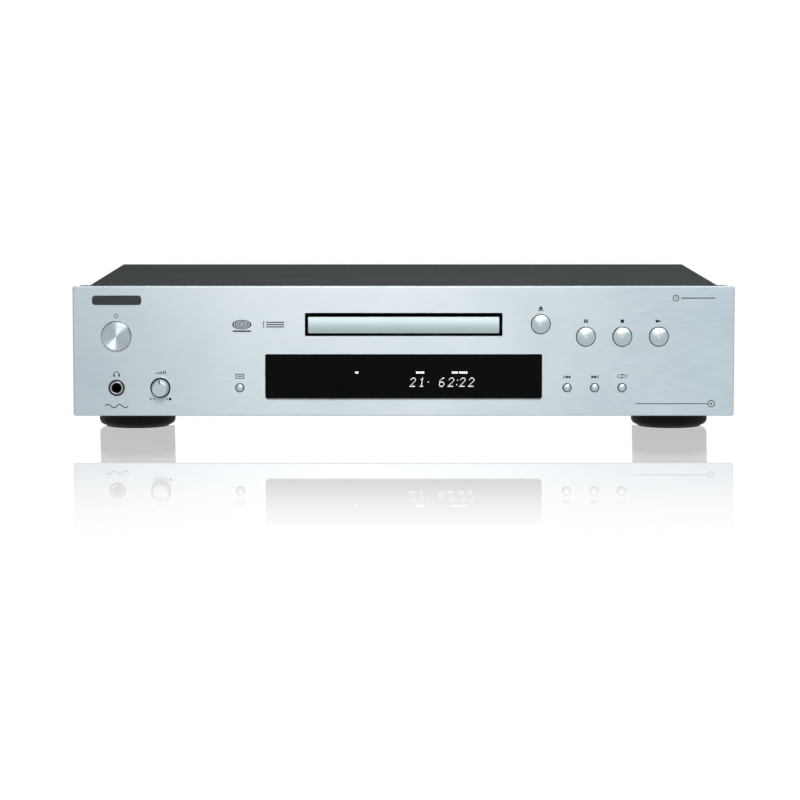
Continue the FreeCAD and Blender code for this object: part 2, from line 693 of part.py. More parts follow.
def jack_sleeves():
    """Plated outer sleeves of the phono jacks."""
    sleeves = []
    for at in AUDIO_JACKS.values():
        barrel = disc_y(at, SLEEVE_R, CORE_BACK, PANEL_FACE + COLLAR_REACH)
        nose = disc_y(at, SLEEVE_NOSE_R, PANEL_FACE + COLLAR_REACH, JACK_TIP)
        sleeve = join(barrel, nose)
        sleeve = round_rim(sleeve, 0.4, lambda c: c.y > JACK_TIP - 0.01)
        sleeves.append(cut(sleeve, disc_y(at, CORE_R, CORE_BACK - 1, JACK_TIP + 1)))
    return sleeves


def jack_cores():
    """Coloured insulators inside the phono jacks, each with its centre contact bore."""
    pin_bore_r = 1.65
    sunk = 0.8
    cores = []
    for at in AUDIO_JACKS.values():
        core = disc_y(at, CORE_R, CORE_BACK, JACK_TIP - sunk)
        cores.append(cut(core, disc_y(at, pin_bore_r, CORE_BACK + 2.0, JACK_TIP)))
    return group(cores)


def optical_socket():
    """Square fibre-optic socket with a pocket for its plug."""
    x, z = OPTICAL_AT
    back = PANEL_INNER - 13.0
    side, pocket_side, pocket_depth = 10.0, 6.4, 9.5
    body = box(around(x, side), (back, PANEL_FACE + 0.8), around(z, side))
    foot_block = box(around(x, side - 2.0), (back, PANEL_INNER - 2.0),
                     (BOARD_LEVEL + BOARD_T, z - side / 2))
    pocket = box(around(x, pocket_side), (PANEL_FACE - pocket_depth, PANEL_FACE + 2),
                 around(z, pocket_side))
    return cut(join(body, foot_block), pocket)


def optical_shutter():
    """Sprung flap that closes the optical socket, hinged along its top edge."""
    x, z = OPTICAL_AT
    side, thick = 5.8, 0.8
    flap = box(around(x, side), around(PANEL_FACE, thick), around(z, side))
    barrel = disc_x(PANEL_FACE, z + side / 2 - 0.5, 0.5, x - side / 2, x + side / 2)
    return join(flap, barrel)


def control_jack():
    """3.5 mm socket for a wired remote link."""
    body = box(around(CONTROL_AT[0], 12.0), (PANEL_INNER - 13.0, PANEL_INNER),
               (BOARD_LEVEL + BOARD_T, CONTROL_AT[1] + 6.0))
    nose = disc_y(CONTROL_AT, 3.1, PANEL_INNER - 0.5, PANEL_FACE + 1.4)
    return cut(join(body, nose), disc_y(CONTROL_AT, 1.8, PANEL_INNER - 11.0, REAR + 1))


INLET_RECESS_BACK = PANEL_FACE - 15.0


def mains_inlet():
    """Two-pole mains inlet: moulded body, flange and a recess for the lead's connector."""
    x, z = INLET_AT
    flange_size = (54.0, 23.0)
    recess_size = (17.5, 9.4)
    body = soft_box(around(x, INLET_SIZE[0]), (PANEL_FACE - 20.0, PANEL_FACE),
                    around(z, INLET_SIZE[1]), Y_AXIS, 1.8)
    flange = soft_box(around(x, flange_size[0]), (PANEL_FACE, PANEL_FACE + INLET_FLANGE_T),
                      around(z, flange_size[1]), Y_AXIS, 6.0)
    recess = soft_box(around(x, recess_size[0]), (INLET_RECESS_BACK, PANEL_FACE + 3),
                      around(z, recess_size[1]), Y_AXIS, 4.5)
    screws = [disc_y(at, PANEL_HOLE_R, PANEL_FACE - 1, PANEL_FACE + 3) for at in INLET_SCREWS]
    return cut(join(body, flange), recess, *screws)


def inlet_pins():
    """The two plated pins inside the mains inlet."""
    tip = PANEL_FACE - 3.0
    pins = []
    for dx in (-4.3, 4.3):
        at = (INLET_AT[0] + dx, INLET_AT[1])
        pin = disc_y(at, 1.2, INLET_RECESS_BACK, tip)
        pin = round_rim(pin, 0.7, lambda c: c.y > tip - 0.01)
        pins.append(pin)
    return pins


# ---- Disc drive: tray and its loader --------------------------------------------------

TOOTH_DEPTH = 1.1        # below and above the pitch line, in modules
TOOTH_HEIGHT = 0.7
TOOTH_SHAPE = ((-0.26, "root"), (-0.12, "tip"), (0.12, "tip"), (0.26, "root"))


def gear(at, module, teeth, z, facing, bore_r, gap=False):
    """Spur gear about a vertical axis with a tooth (or a gap) centred on the facing angle.

    The teeth are straight-sided and a little short and narrow, so that they run with play.
    """
    pitch_r = module * teeth / 2
    radii = {"root": pitch_r - TOOTH_DEPTH * module, "tip": pitch_r + TOOTH_HEIGHT * module}
    step = 2 * math.pi / teeth
    start = math.radians(facing) + (step / 2 if gap else 0.0)
    points = []
    for index in range(teeth):
        middle = start + index * step
        for share, level in TOOTH_SHAPE:
            angle = middle + share * step
            radius = radii[level]
            points.append((at[0] + radius * math.cos(angle), at[1] + radius * math.sin(angle)))
    body = swept_outline(points, V(0, 0, z[1] - z[0]), lambda u, v: V(u, v, z[0]))
    return cut(body, disc_z(at, bore_r, z[0] - 1, z[1] + 1))


def rack(pitch_x, module, y, z, gap_y, back_x):
    """Straight toothed bar along Y; its teeth point from back_x over the pitch line."""
    towards = math.copysign(1.0, pitch_x - back_x)
    levels = {"root": pitch_x - towards * TOOTH_DEPTH * module,
              "tip": pitch_x + towards * TOOTH_HEIGHT * module}
    half_tooth = TOOTH_SHAPE[-1][0]
    step = math.pi * module
    first = math.ceil((y[0] - gap_y) / step - 0.5)
    last = math.floor((y[1] - gap_y) / step - 0.5)
    points = [(back_x, y[0]), (levels["root"], y[0])]
    for index in range(first, last + 1):
        middle = gap_y + (index + 0.5) * step
        if middle - step * half_tooth <= y[0] or middle + step * half_tooth >= y[1]:
            continue
        for share, level in TOOTH_SHAPE:
            points.append((levels[level], middle + share * step))
    points += [(levels["root"], y[1]), (back_x, y[1])]
    return swept_outline(points, V(0, 0, z[1] - z[0]), lambda u, v: V(u, v, z[0]))


def disc_tray():
    """Tray with recesses for both disc sizes, a laser slot, finger cut-outs and a rack below."""
    y = (TRAY_FRONT, TRAY_FRONT + TRAY_LENGTH)
    bottom, top = TRAY_Z
    above = top + 1
    bevel_t = 0.8
    finger_x, finger_w = 46.0, 18.0
    pocket_margin = 9.0
    rack_t, rack_w = 3.0, 5.5
    slab = box((-TRAY_X, TRAY_X), y, TRAY_Z)
    slab = round_edges(slab, Z_AXIS, 3.0, lambda c: c.y > 0)
    centre = (0.0, DISC_Y)
    recess = disc_z(centre, DISC_R, DISC_FLOOR, above)
    bevel = Part.makeCone(DISC_R, DISC_R + bevel_t, bevel_t, V(0, DISC_Y, top - bevel_t))
    small = disc_z(centre, SMALL_DISC_R, SMALL_DISC_FLOOR, above)
    hub_room = disc_z(centre, LASER_SLOT_X, bottom - 1, above)
    laser_slot = box((-LASER_SLOT_X, LASER_SLOT_X), (DISC_Y, y[1] - 14.0), (bottom - 1, above))
    pocket = box((-TRAY_X + pocket_margin, TRAY_X - pocket_margin),
                 (DISC_Y + DISC_R + 5.0, y[1] - 6.0), (DISC_FLOOR, above))
    pocket = round_edges(pocket, Z_AXIS, 4.0)
    fingers = [box(around(sign * finger_x, finger_w), (DISC_Y - 62.0, DISC_Y - 38.0),
                   (SMALL_DISC_FLOOR, above)) for sign in (-1, 1)]
    fingers = [round_edges(f, Z_AXIS, 6.0) for f in fingers]
    teeth = rack(RACK_X, GEAR_MODULE, (GEAR_Y - 7.0, y[1] - 1.0), (bottom - rack_t, bottom),
                 GEAR_Y, RACK_X - rack_w)
    slab = cut(slab, recess, bevel, small, hub_room, laser_slot, pocket, *fingers)
    return join(slab, teeth)


def tray_door():
    """Silver front of the tray, its face bowed slightly outwards."""
    bow = 1.0
    face = FRONT + 1.2
    back = PANEL_BACK
    bottom, top = DOOR_Z
    middle = (bottom + top) / 2
    start = V(-DOOR_X, back, bottom)
    low = V(-DOOR_X, face, bottom)
    high = V(-DOOR_X, face, top)
    end = V(-DOOR_X, back, top)
    crown = Part.Arc(low, V(-DOOR_X, face - bow, middle), high).toShape()
    outline = Part.Wire([Part.makeLine(start, low), crown, Part.makeLine(high, end),
                         Part.makeLine(end, start)])
    door = Part.Face(outline).extrude(V(2 * DOOR_X, 0, 0))
    return round_edges(door, Y_AXIS, 0.5)


POST_R = 1.5             # posts that the loading gears turn on
POST_TOP = 73.2
DECK_Z = (61.5, 64.0)    # shelf that carries the gears and the loading motor
CAM_PLAY_Y = (-95.2, -88.5)          # room along Y for the lift cam
LEG_W = 12.0


def loader_half():
    """Right-hand side wall of the loader with its tray ledge, hooks and legs."""
    side_bottom = 40.0
    window_y, window_z = (-70.0, 30.0), (46.0, 64.0)
    ledge_z = (70.6, TRAY_Z[0] - 0.35)
    hook_z = (TRAY_Z[1] + 0.4, TRAY_Z[1] + 2.2)
    side = box((RAIL_X, LOADER_X), (LOADER_FRONT, LOADER_BACK), (side_bottom, LOADER_TOP))
    window = soft_box((RAIL_X - 1, LOADER_X + 1), window_y, window_z, X_AXIS, 5.0)
    side = cut(side, window)
    ledge = box((TRAY_X - 4.3, RAIL_X), (LOADER_FRONT, LOADER_BACK), ledge_z)
    hooks = [box((TRAY_X - 2.3, RAIL_X), (y, y + 12.0), hook_z) for y in (LOADER_FRONT, -40.0)]
    leg = box((59.5, LOADER_X), (0.0, LEG_W), (FLOOR + DAMPER_T, side_bottom + 4.0))
    legs = [leg.translated(V(0, y, 0)) for y in (LOADER_FRONT, LOADER_BACK - LEG_W)]
    return join(side, ledge, *hooks, *legs)


def pivot_forks():
    """Two arms at the back of the loader that hold the traverse's pivots."""
    back_wall = LOADER_BACK - 3.0
    half_height = 5.0
    forks = []
    for x in (44.0, -50.0):
        arm = box((x, x + 6.0), (PIVOT_Y - half_height, back_wall),
                  (PIVOT_Z - half_height, PIVOT_Z + half_height))
        forks.append(round_edges(arm, X_AXIS, 3.0, lambda c: c.y < PIVOT_Y))
    return forks


def loader_frame():
    """Moulded frame that carries the tray, its gears, the lift cam and the traverse."""
    half = loader_half()
    deck_y = (LOADER_FRONT, CAM_PLAY_Y[0])
    sill_z = (38.0, 41.6)
    back_z = (40.0, 68.0)
    shoulder_r, shoulder_top = 2.2, 69.7
    deck = box((-RAIL_X, RAIL_X), deck_y, DECK_Z)
    sill = box((-RAIL_X, RAIL_X), CAM_PLAY_Y, sill_z)
    back = box((-RAIL_X, RAIL_X), (LOADER_BACK - 3.0, LOADER_BACK), back_z)
    posts = [disc_z((x, GEAR_Y), POST_R, DECK_Z[1] - 1.0, POST_TOP)
             for x in (TRAY_GEAR_X, PULLEY_X)]
    shoulder = disc_z((TRAY_GEAR_X, GEAR_Y), shoulder_r, DECK_Z[1] - 1.0, shoulder_top)
    body = join(half, mirrored_x(half), deck, sill, back, *pivot_forks(), *posts, shoulder)
    pivot_bore = disc_x(PIVOT_Y, PIVOT_Z, PIVOT_R + PIVOT_ROOM, -LOADER_X + 15, LOADER_X - 15)
    screw_holes = [disc_z(at, M3_HOLE_R, FLOOR, 30.0) for at in LOADER_LEGS]
    motor_hole = disc_z((MOTOR_X, GEAR_Y), 3.4, DECK_Z[0] - 1.5, DECK_Z[1] + 1.0)
    return cut(body, pivot_bore, motor_hole, *screw_holes)


DAMPER_T = 4.0
LOADER_LEGS = [(sign * 64.0, y) for sign in (-1, 1)
               for y in (LOADER_FRONT + 6.0, LOADER_BACK - 6.0)]


def dampers():
    """Rubber bush between each leg of the loader and the base."""
    return group([ring_z(at, 5.5, 2.0, FLOOR, FLOOR + DAMPER_T) for at in LOADER_LEGS])


def loader_screws():
    """Screw up through the base into each leg of the loader."""
    head_r, head_t = 3.0, 1.6
    tip = 29.5
    screws = []
    for at in LOADER_LEGS:
        head = disc_z(at, head_r, BASE_BOTTOM - head_t, BASE_BOTTOM)
        shank = disc_z(at, M3_FILL_R, BASE_BOTTOM - 0.5, tip)
        slot = box(around(at[0], 4.4), around(at[1], RECESS_W),
                   (BASE_BOTTOM - head_t - 0.4, BASE_BOTTOM - 0.9))
        screws.append(cut(join(head, shank), slot))
    return screws


def clamp_bridge():
    """Steel bridge over the tray that carries the disc clamp."""
    width, thick = 44.0, 1.5
    rib_x, rib_top = 56.0, LOADER_TOP + 4.0
    hole_r = 8.7
    plate = box((-LOADER_X, LOADER_X), around(DISC_Y, width), (LOADER_TOP, LOADER_TOP + thick))
    plate = round_edges(plate, Z_AXIS, 3.0)
    ribs = [box((-rib_x, rib_x), around(DISC_Y + dy, thick), (LOADER_TOP + thick, rib_top))
            for dy in (-20.0, 20.0)]
    hole = disc_z((0.0, DISC_Y), hole_r, LOADER_TOP - 1, LOADER_TOP + 3)
    return cut(join(plate, *ribs), hole)


def clamp_puck():
    """Free-turning clamp that hangs in the bridge by its rim, with its ring magnet."""
    at = (0.0, DISC_Y)
    flange_r, flange_top = 15.5, PUCK_BOTTOM + 3.0
    neck_r, rim_r = 8.2, 11.5
    recess_r, recess_depth = 8.0, 1.4
    magnet_r, magnet_z = 6.5, (LOADER_TOP - 1.4, LOADER_TOP + 1.6)
    flange = disc_z(at, flange_r, PUCK_BOTTOM, flange_top)
    flange = round_rim(flange, 0.8, lambda c: c.z > flange_top - 0.1)
    neck = disc_z(at, neck_r, flange_top, LOADER_TOP + 2.0)
    rim = disc_z(at, rim_r, LOADER_TOP + 1.8, LOADER_TOP + 3.6)
    recess = disc_z(at, recess_r, PUCK_BOTTOM - 1, PUCK_BOTTOM + recess_depth)
    magnet_room = disc_z(at, magnet_r, magnet_z[0], LOADER_TOP + 4)
    magnet = ring_z(at, magnet_r, 2.5, *magnet_z)
    return group([cut(join(flange, neck, rim), recess, magnet_room), magnet])


def loading_motor():
    """Small DC motor hung under the loader's deck."""
    at = (MOTOR_X, GEAR_Y)
    can_r, boss_r = 9.0, 3.2
    bottom, top = 40.0, DECK_Z[0]
    can = disc_z(at, can_r, bottom, top)
    can = round_rim(can, 1.2, lambda c: c.z < bottom + 0.01)
    boss = disc_z(at, boss_r, top - 0.1, top + 2.1)
    return cut(join(can, boss), disc_z(at, 1.03, bottom + 5.0, top + 2.5))


def motor_pulley():
    """Grooved pulley with its steel shaft on the loading motor."""
    at = (MOTOR_X, GEAR_Y)
    shaft = disc_z(at, 1.0, 46.0, 65.0)
    return join(shaft, pulley(at, MOTOR_PULLEY_R, 0.0))


BELT_Z = 67.2
BELT_R = 0.7
PULLEY_HALF = 2.2        # half a pulley's height
MESH_Z = (70.8, 73.1)    # the loading gears' teeth


def pulley(at, radius, bore_r):
    """Pulley with a groove whose floor is at the given radius."""
    rim = 1.4
    groove_r = 1.3
    body = disc_z(at, radius + rim, BELT_Z - PULLEY_HALF, BELT_Z + PULLEY_HALF)
    groove = Part.makeTorus(radius + groove_r, groove_r, V(at[0], at[1], BELT_Z), Z_AXIS)
    body = cut(body, groove)
    if bore_r > 0:
        body = cut(body, disc_z(at, bore_r, BELT_Z - 3, BELT_Z + 3))
    return body


def pulley_gear():
    """Large pulley and the pinion above it, turning on one post."""
    at = (PULLEY_X, GEAR_Y)
    post_r = POST_R + PIVOT_ROOM
    wheel = pulley(at, PULLEY_R, post_r)
    hub = ring_z(at, 3.2, post_r, BELT_Z + PULLEY_HALF, MESH_Z[0])
    pinion = gear(at, GEAR_MODULE, PINION_TEETH, MESH_Z, 180.0, post_r, gap=True)
    return join(wheel, hub, pinion)


def tray_gear():
    """Idler that meshes with the pinion on one side and the tray's rack on the other."""
    at = (TRAY_GEAR_X, GEAR_Y)
    post_r = POST_R + PIVOT_ROOM
    wheel = gear(at, GEAR_MODULE, TRAY_GEAR_TEETH, MESH_Z, 180.0, post_r)
    return join(wheel, ring_z(at, 3.0, post_r, MESH_Z[0] - 0.9, MESH_Z[0]))


def drive_belt():
    """Round rubber belt around the two pulleys: straight runs joined by arcs."""
    play = 0.12
    small_r = MOTOR_PULLEY_R + BELT_R + play
    large_r = PULLEY_R + BELT_R + play
    span = PULLEY_X - MOTOR_X
    lean = math.acos((large_r - small_r) / span)
    small = V(MOTOR_X, GEAR_Y, BELT_Z)
    large = V(PULLEY_X, GEAR_Y, BELT_Z)

    def rim_point(centre, radius, angle):
        return centre + V(radius * math.cos(angle), radius * math.sin(angle), 0)

    top = math.pi - lean
    arc_small = Part.Arc(rim_point(small, small_r, top), rim_point(small, small_r, math.pi),
                         rim_point(small, small_r, -top))
    arc_large = Part.Arc(rim_point(large, large_r, -top), rim_point(large, large_r, 0.0),
                         rim_point(large, large_r, top))
    path = Part.Wire([
        arc_small.toShape(),
        Part.makeLine(rim_point(small, small_r, -top), rim_point(large, large_r, -top)),
        arc_large.toShape(),
        Part.makeLine(rim_point(large, large_r, top), rim_point(small, small_r, top)),
    ])
    start = rim_point(small, small_r, top)
    tangent = V(-math.sin(top), math.cos(top), 0)
    section = Part.Wire(Part.makeCircle(BELT_R, start, tangent))
    return path.makePipeShell([section], True, True)


def lift_cam():
    """Bar that slides across the front of the traverse; its sloping slot lifts the pin."""
    x = (CAM_PIN_X - CAM_TRAVEL - 12.0, CAM_PIN_X + 14.0)
    y = (-92.6, -90.4)
    bottom = 42.0
    flat = 4.0
    low = CAM_PIN_Z - cam_pin_drop()
    plate = soft_box(x, y, (bottom, CAM_PIN_Z + 5.0), Y_AXIS, 2.0)
    slot_r = CAM_PIN_R + 0.4
    ends = [(CAM_PIN_X, low), (CAM_PIN_X - CAM_TRAVEL, CAM_PIN_Z)]
    dwell = [(CAM_PIN_X + flat, low), (CAM_PIN_X - CAM_TRAVEL - flat, CAM_PIN_Z)]
    pieces = [disc_y(at, slot_r, y[0] - 1, y[1] + 1) for at in ends + dwell]
    for start, end in ((dwell[0], ends[0]), (ends[0], ends[1]), (ends[1], dwell[1])):
        pieces.append(slot_run(start, end, slot_r, y))
    runner = box(x, (y[0], y[1] + 1.5), (bottom, bottom + 2.0))
    return cut(join(plate, runner), *pieces)


def slot_run(start, end, half_width, y):
    """Straight stretch of a slot through a plate, between two (x, z) places."""
    along = V(end[0] - start[0], 0, end[1] - start[1])
    side = V(-along.z, 0, along.x)
    side.normalize()
    side = side * half_width
    first = V(start[0], y[0] - 1, start[1])
    last = V(end[0], y[0] - 1, end[1])
    corners = [first + side, last + side, last - side, first - side, first + side]
    return Part.Face(Part.makePolygon(corners)).extrude(V(0, y[1] - y[0] + 2, 0))


def cam_pin_drop():
    """How far the traverse's pin sinks when the traverse hangs down."""
    reach = PIVOT_Y + 91.5
    angle = math.radians(TRAVERSE_DROP)
    rise = CAM_PIN_Z - PIVOT_Z
    return reach * math.sin(angle) + rise * (1 - math.cos(angle))


# ---- Traverse: the pickup mechanism, drawn at its playing height and then hung down ----

def hang_down(shape):
    """Turn a shape about the traverse's pivot into its rest position, clear of the tray."""
    resting = shape.copy()
    resting.rotate(V(0, PIVOT_Y, PIVOT_Z), X_AXIS, TRAVERSE_DROP)
    return resting


PLATE_FRONT = DISC_Y - 18.0
PLATE_BACK = 42.0
SPINDLE_AT = (0.0, DISC_Y)
LENS_Y = DISC_Y + LENS_START
SLED_GEAR_Z = (PLATE_Z[1] + 0.6, PLATE_Z[1] + 2.6)


PLATE_X = (-42.0, 50.0)
SLED_POST_R = 1.2


def traverse_ears():
    """Two ears behind the traverse plate and the pivot pins that stand out of them."""
    width = 5.0
    reach = 42.0
    pin = (reach - 1.0, 49.5)
    pieces = [disc_x(PIVOT_Y, PIVOT_Z, PIVOT_R, *pin),
              disc_x(PIVOT_Y, PIVOT_Z, PIVOT_R, -pin[1], -pin[0])]
    for x in (reach - width, -reach):
        ear = box((x, x + width), (PIVOT_Y - 14.0, PIVOT_Y + 4.0), (PIVOT_Z - 4.0, PLATE_Z[1]))
        pieces.append(round_edges(ear, X_AXIS, 3.5, lambda c: c.y > PIVOT_Y))
    return pieces


def rod_seats():
    """Four blocks under the traverse plate that hold the ends of the guide rods."""
    width, length, below_rod = 7.0, 4.0, 3.0
    return [box(around(x, width), around(y, length), (ROD_Z - below_rod, PLATE_Z[0]))
            for x in (-ROD_X, ROD_X) for y in rod_span()]


def traverse_plate():
    """Moulded plate with the pickup's opening, rod seats, pivot ears and the cam pin."""
    low, high = PLATE_Z
    below, above = low - 5, high + 1
    corner_r, rim_height, rim_t = 4.0, 3.5, 2.0
    plate_y = (PLATE_FRONT, PLATE_BACK)
    plate = soft_box(PLATE_X, plate_y, PLATE_Z, Z_AXIS, corner_r)
    rim = cut(soft_box(PLATE_X, plate_y, (low - rim_height, low), Z_AXIS, corner_r),
              box((PLATE_X[0] + rim_t, PLATE_X[1] - rim_t),
                  (PLATE_FRONT + rim_t, PLATE_BACK - rim_t), (low - 4, low + 1)))
    tab = box(around(CAM_PIN_X, 9.0), (PLATE_FRONT - 0.5, PLATE_FRONT + 3.0),
              (CAM_PIN_Z - 3.0, high))
    pin = disc_y((CAM_PIN_X, CAM_PIN_Z), CAM_PIN_R, -94.5, PLATE_FRONT + 1.0)
    gear_post = disc_z((SLED_GEAR_X, SLED_GEAR_Y), SLED_POST_R, high - 1.0, high + 2.9)
    body = join(plate, rim, *traverse_ears(), tab, pin, *rod_seats(), gear_post)
    opening_x = 22.5
    opening = box((-opening_x, opening_x), (DISC_Y + 11.6, LENS_Y + PICKUP_TRAVEL + 15.0),
                  (below, above))
    opening = round_edges(opening, Z_AXIS, 2.0)
    tools = [opening, disc_z(SPINDLE_AT, 4.6, below, above),
             disc_z((SLED_GEAR_X, SLED_PINION_Y), 3.6, below, above)]
    start, end = rod_span()
    tools += [disc_y((x, ROD_Z), ROD_R, start - 3.0, end + 3.0) for x in (-ROD_X, ROD_X)]
    return cut(body, *tools)


def rod_span():
    """Y places of the two seats that hold the guide rods."""
    return LENS_Y - 16.0, LENS_Y + PICKUP_TRAVEL + 20.0


def guide_rods():
    """Two ground steel rods that the pickup slides on."""
    start, end = rod_span()
    return group([disc_y((x, ROD_Z), ROD_R, start - 2.0, end + 2.0) for x in (-ROD_X, ROD_X)])


def spindle_motor():
    """Flat disc motor screwed under the traverse plate."""
    low = PLATE_Z[0]
    can_r, can_height, boss_r = 11.0, 12.0, 4.4
    can = disc_z(SPINDLE_AT, can_r, low - can_height, low)
    can = round_rim(can, 1.0, lambda c: c.z < low - can_height + 0.1)
    boss = disc_z(SPINDLE_AT, boss_r, low - 0.5, low + 3.4)
    return cut(join(can, boss), disc_z(SPINDLE_AT, 1.04, low - can_height + 2.0, low + 4))


def spindle_hub():
    """Turntable hub, a ribbed flange and a tapered boss, pressed on the motor's steel shaft."""
    flange_r, flange_t = 13.5, 2.2
    groove_r, groove_depth = (9.6, 8.4), 0.6
    sleeve_r, shaft_r = 4.0, 1.0
    boss_r, boss_height = (7.4, 6.4), 1.7       # fits the disc's 15 mm hole
    flange = disc_z(SPINDLE_AT, flange_r, HUB_TOP - flange_t, HUB_TOP)
    groove = ring_z(SPINDLE_AT, *groove_r, HUB_TOP - groove_depth, HUB_TOP + 1)
    sleeve = disc_z(SPINDLE_AT, sleeve_r, PLATE_Z[1] + 1.0, HUB_TOP - 2.0)
    boss = Part.makeCone(*boss_r, boss_height, V(0, DISC_Y, HUB_TOP), Z_AXIS)
    boss_top = HUB_TOP + boss_height
    boss = boss.makeFillet(0.4, [e for e in boss.Edges if e.CenterOfMass.z > boss_top - 0.1])
    shaft = disc_z(SPINDLE_AT, shaft_r, PLATE_Z[0] - 9.0, HUB_TOP + 1.0)
    return group([cut(join(flange, sleeve, boss), groove, shaft), shaft])


LENS_BASE_R = 3.2
LENS_SEAT_Z = 74.0


def optical_pickup():
    """Die-cast pickup sled: bushes on the rods, a raised lens actuator and a rack arm."""
    low, high = PLATE_Z
    y = (LENS_Y - 9.5, LENS_Y + 13.0)
    core_x = 20.0
    core_z = (58.0, high + 1.2)
    actuator_size = (20.0, 14.0)
    actuator_top = LENS_SEAT_Z + 1.6
    hollow_size = (26.0, 15.0)
    core = round_edges(box((-core_x, core_x), y, core_z), Z_AXIS, 2.5)
    wing = box((core_x - 1.0, ROD_X + 4.5), (y[0] + 1.0, y[1] - 1.0), (ROD_Z - 3.2, low - 0.7))
    actuator = soft_box(around(0.0, actuator_size[0]), around(LENS_Y, actuator_size[1]),
                        (high + 1.0, actuator_top), Z_AXIS, 1.5)
    teeth = rack(SLED_RACK_X, SLED_MODULE, (SLED_GEAR_Y - PICKUP_TRAVEL - 5.0, SLED_GEAR_Y + 5.0),
                 SLED_GEAR_Z, SLED_GEAR_Y, SLED_RACK_X - 3.0)
    arm = box((core_x - 2.0, SLED_RACK_X - 2.0), (LENS_Y - 5.0, LENS_Y + 9.0), SLED_GEAR_Z)
    body = join(core, wing, mirrored_x(wing), actuator, arm, teeth)
    bores = [disc_y((x, ROD_Z), ROD_R + PIVOT_ROOM, y[0] - 1, y[1] + 1) for x in (-ROD_X, ROD_X)]
    lens_seat = disc_z((0.0, LENS_Y), LENS_BASE_R, LENS_SEAT_Z, actuator_top + 2.4)
    hollow = box(around(0.0, hollow_size[0]), around(LENS_Y, hollow_size[1]),
                 (core_z[0] - 1, core_z[0] + 4.0))
    return cut(body, *bores, lens_seat, hollow)


def pickup_lens():
    """Small glass lens in its seat on the pickup."""
    at = (0.0, LENS_Y)
    base_top = LENS_SEAT_Z + 1.8
    sphere_r = 4.5
    dome_r, dome_top = 2.6, LENS_SEAT_Z + 3.0
    base = disc_z(at, LENS_BASE_R, LENS_SEAT_Z, base_top)
    dome = Part.makeSphere(sphere_r, V(0, LENS_Y, dome_top - sphere_r))
    return join(base, dome.common(disc_z(at, dome_r, base_top - 0.2, dome_top + 1.0)))


def sled_gear():
    """Idler between the sled motor's pinion and the pickup's rack."""
    at = (SLED_GEAR_X, SLED_GEAR_Y)
    return gear(at, SLED_MODULE, SLED_TEETH, SLED_GEAR_Z, 180.0, SLED_POST_R + PIVOT_ROOM)


def sled_motor():
    """Small DC motor under the traverse plate that moves the pickup."""
    at = (SLED_GEAR_X, SLED_PINION_Y)
    low = PLATE_Z[0]
    can_r, can_height, boss_r = 8.6, 17.0, 3.4
    can = disc_z(at, can_r, low - can_height, low)
    can = round_rim(can, 1.0, lambda c: c.z < low - can_height + 0.1)
    boss = disc_z(at, boss_r, low - 0.5, low + 2.4)
    return cut(join(can, boss), disc_z(at, 0.83, low - can_height + 5.0, low + 3))


def sled_pinion():
    """Pinion and shaft of the sled motor."""
    at = (SLED_GEAR_X, SLED_PINION_Y)
    shaft_r = 0.8
    shaft = disc_z(at, shaft_r, PLATE_Z[0] - 11.0, SLED_GEAR_Z[1])
    wheel = gear(at, SLED_MODULE, SLED_PINION_TEETH, SLED_GEAR_Z, 270.0, shaft_r, gap=True)
    return join(wheel, shaft)


# ---- Electronics and the power supply -------------------------------------------------

CORE_AT = (-165.0, 70.0)
CORE_SIZE = (62.0, 36.0, 52.0)


STACK_T = CORE_SIZE[1] - 12.0        # thickness of the laminations
EAR_T = 1.5
WINDING_Z = (FLOOR + 10.0, FLOOR + CORE_SIZE[2] - 10.0)


def transformer_core():
    """Laminated core of the mains transformer on its two mounting feet."""
    x, y = CORE_AT
    w, d, h = CORE_SIZE
    ear_length = 10.0
    body = box(around(x, w), around(y, STACK_T), (FLOOR, FLOOR + h))
    ear = box((x + w / 2, x + w / 2 + ear_length), around(y, STACK_T), (FLOOR, FLOOR + EAR_T))
    ears = [ear, ear.translated(V(-w - ear_length, 0, 0))]
    holes = [disc_z(at, M3_HOLE_R, FLOOR - 1, FLOOR + 3) for at in transformer_bolts()]
    return cut(join(body, *ears), *core_windows(d), *holes)


def core_windows(depth):
    """The two openings of the core that the windings pass through."""
    x, y = CORE_AT
    offset, width = 15.5, 11.0
    return [box(around(x + dx, width), around(y, depth), WINDING_Z) for dx in (-offset, offset)]


def transformer_bolts():
    """Places of the two bolts that hold the transformer."""
    x, y = CORE_AT
    reach = CORE_SIZE[0] / 2 + 5.5
    return [(x - reach, y), (x + reach, y)]


def transformer_coil():
    """Taped windings on the middle limb of the core."""
    x, y = CORE_AT
    depth = CORE_SIZE[1]
    width, bulge = 41.0, 8.0
    limb_w, side_w = 20.0, 20.0
    outer = soft_box(around(x, width), around(y, depth + bulge),
                     (WINDING_Z[0] + 0.5, WINDING_Z[1] - 0.5), Z_AXIS, 6.0)
    limb = box(around(x, limb_w), around(y, STACK_T), (FLOOR, FLOOR + CORE_SIZE[2]))
    steel_sides = [box(around(x + sign * width / 2, side_w), around(y, STACK_T), WINDING_Z)
                   for sign in (-1, 1)]
    walls = [side.cut(way) for side, way in zip(steel_sides, core_windows(depth))]
    return cut(outer, limb, *walls)


BOARDS = {
    "power_board": ((-200.0, -88.0), (-95.0, 35.0)),
    "audio_board": ((84.0, 200.0), (-95.0, 139.0)),
}


def board_corners(name):
    """Screw places at the four corners of a horizontal board."""
    x, y = BOARDS[name]
    inset = 5.0
    return [(px, py) for px in (x[0] + inset, x[1] - inset) for py in (y[0] + inset, y[1] - inset)]


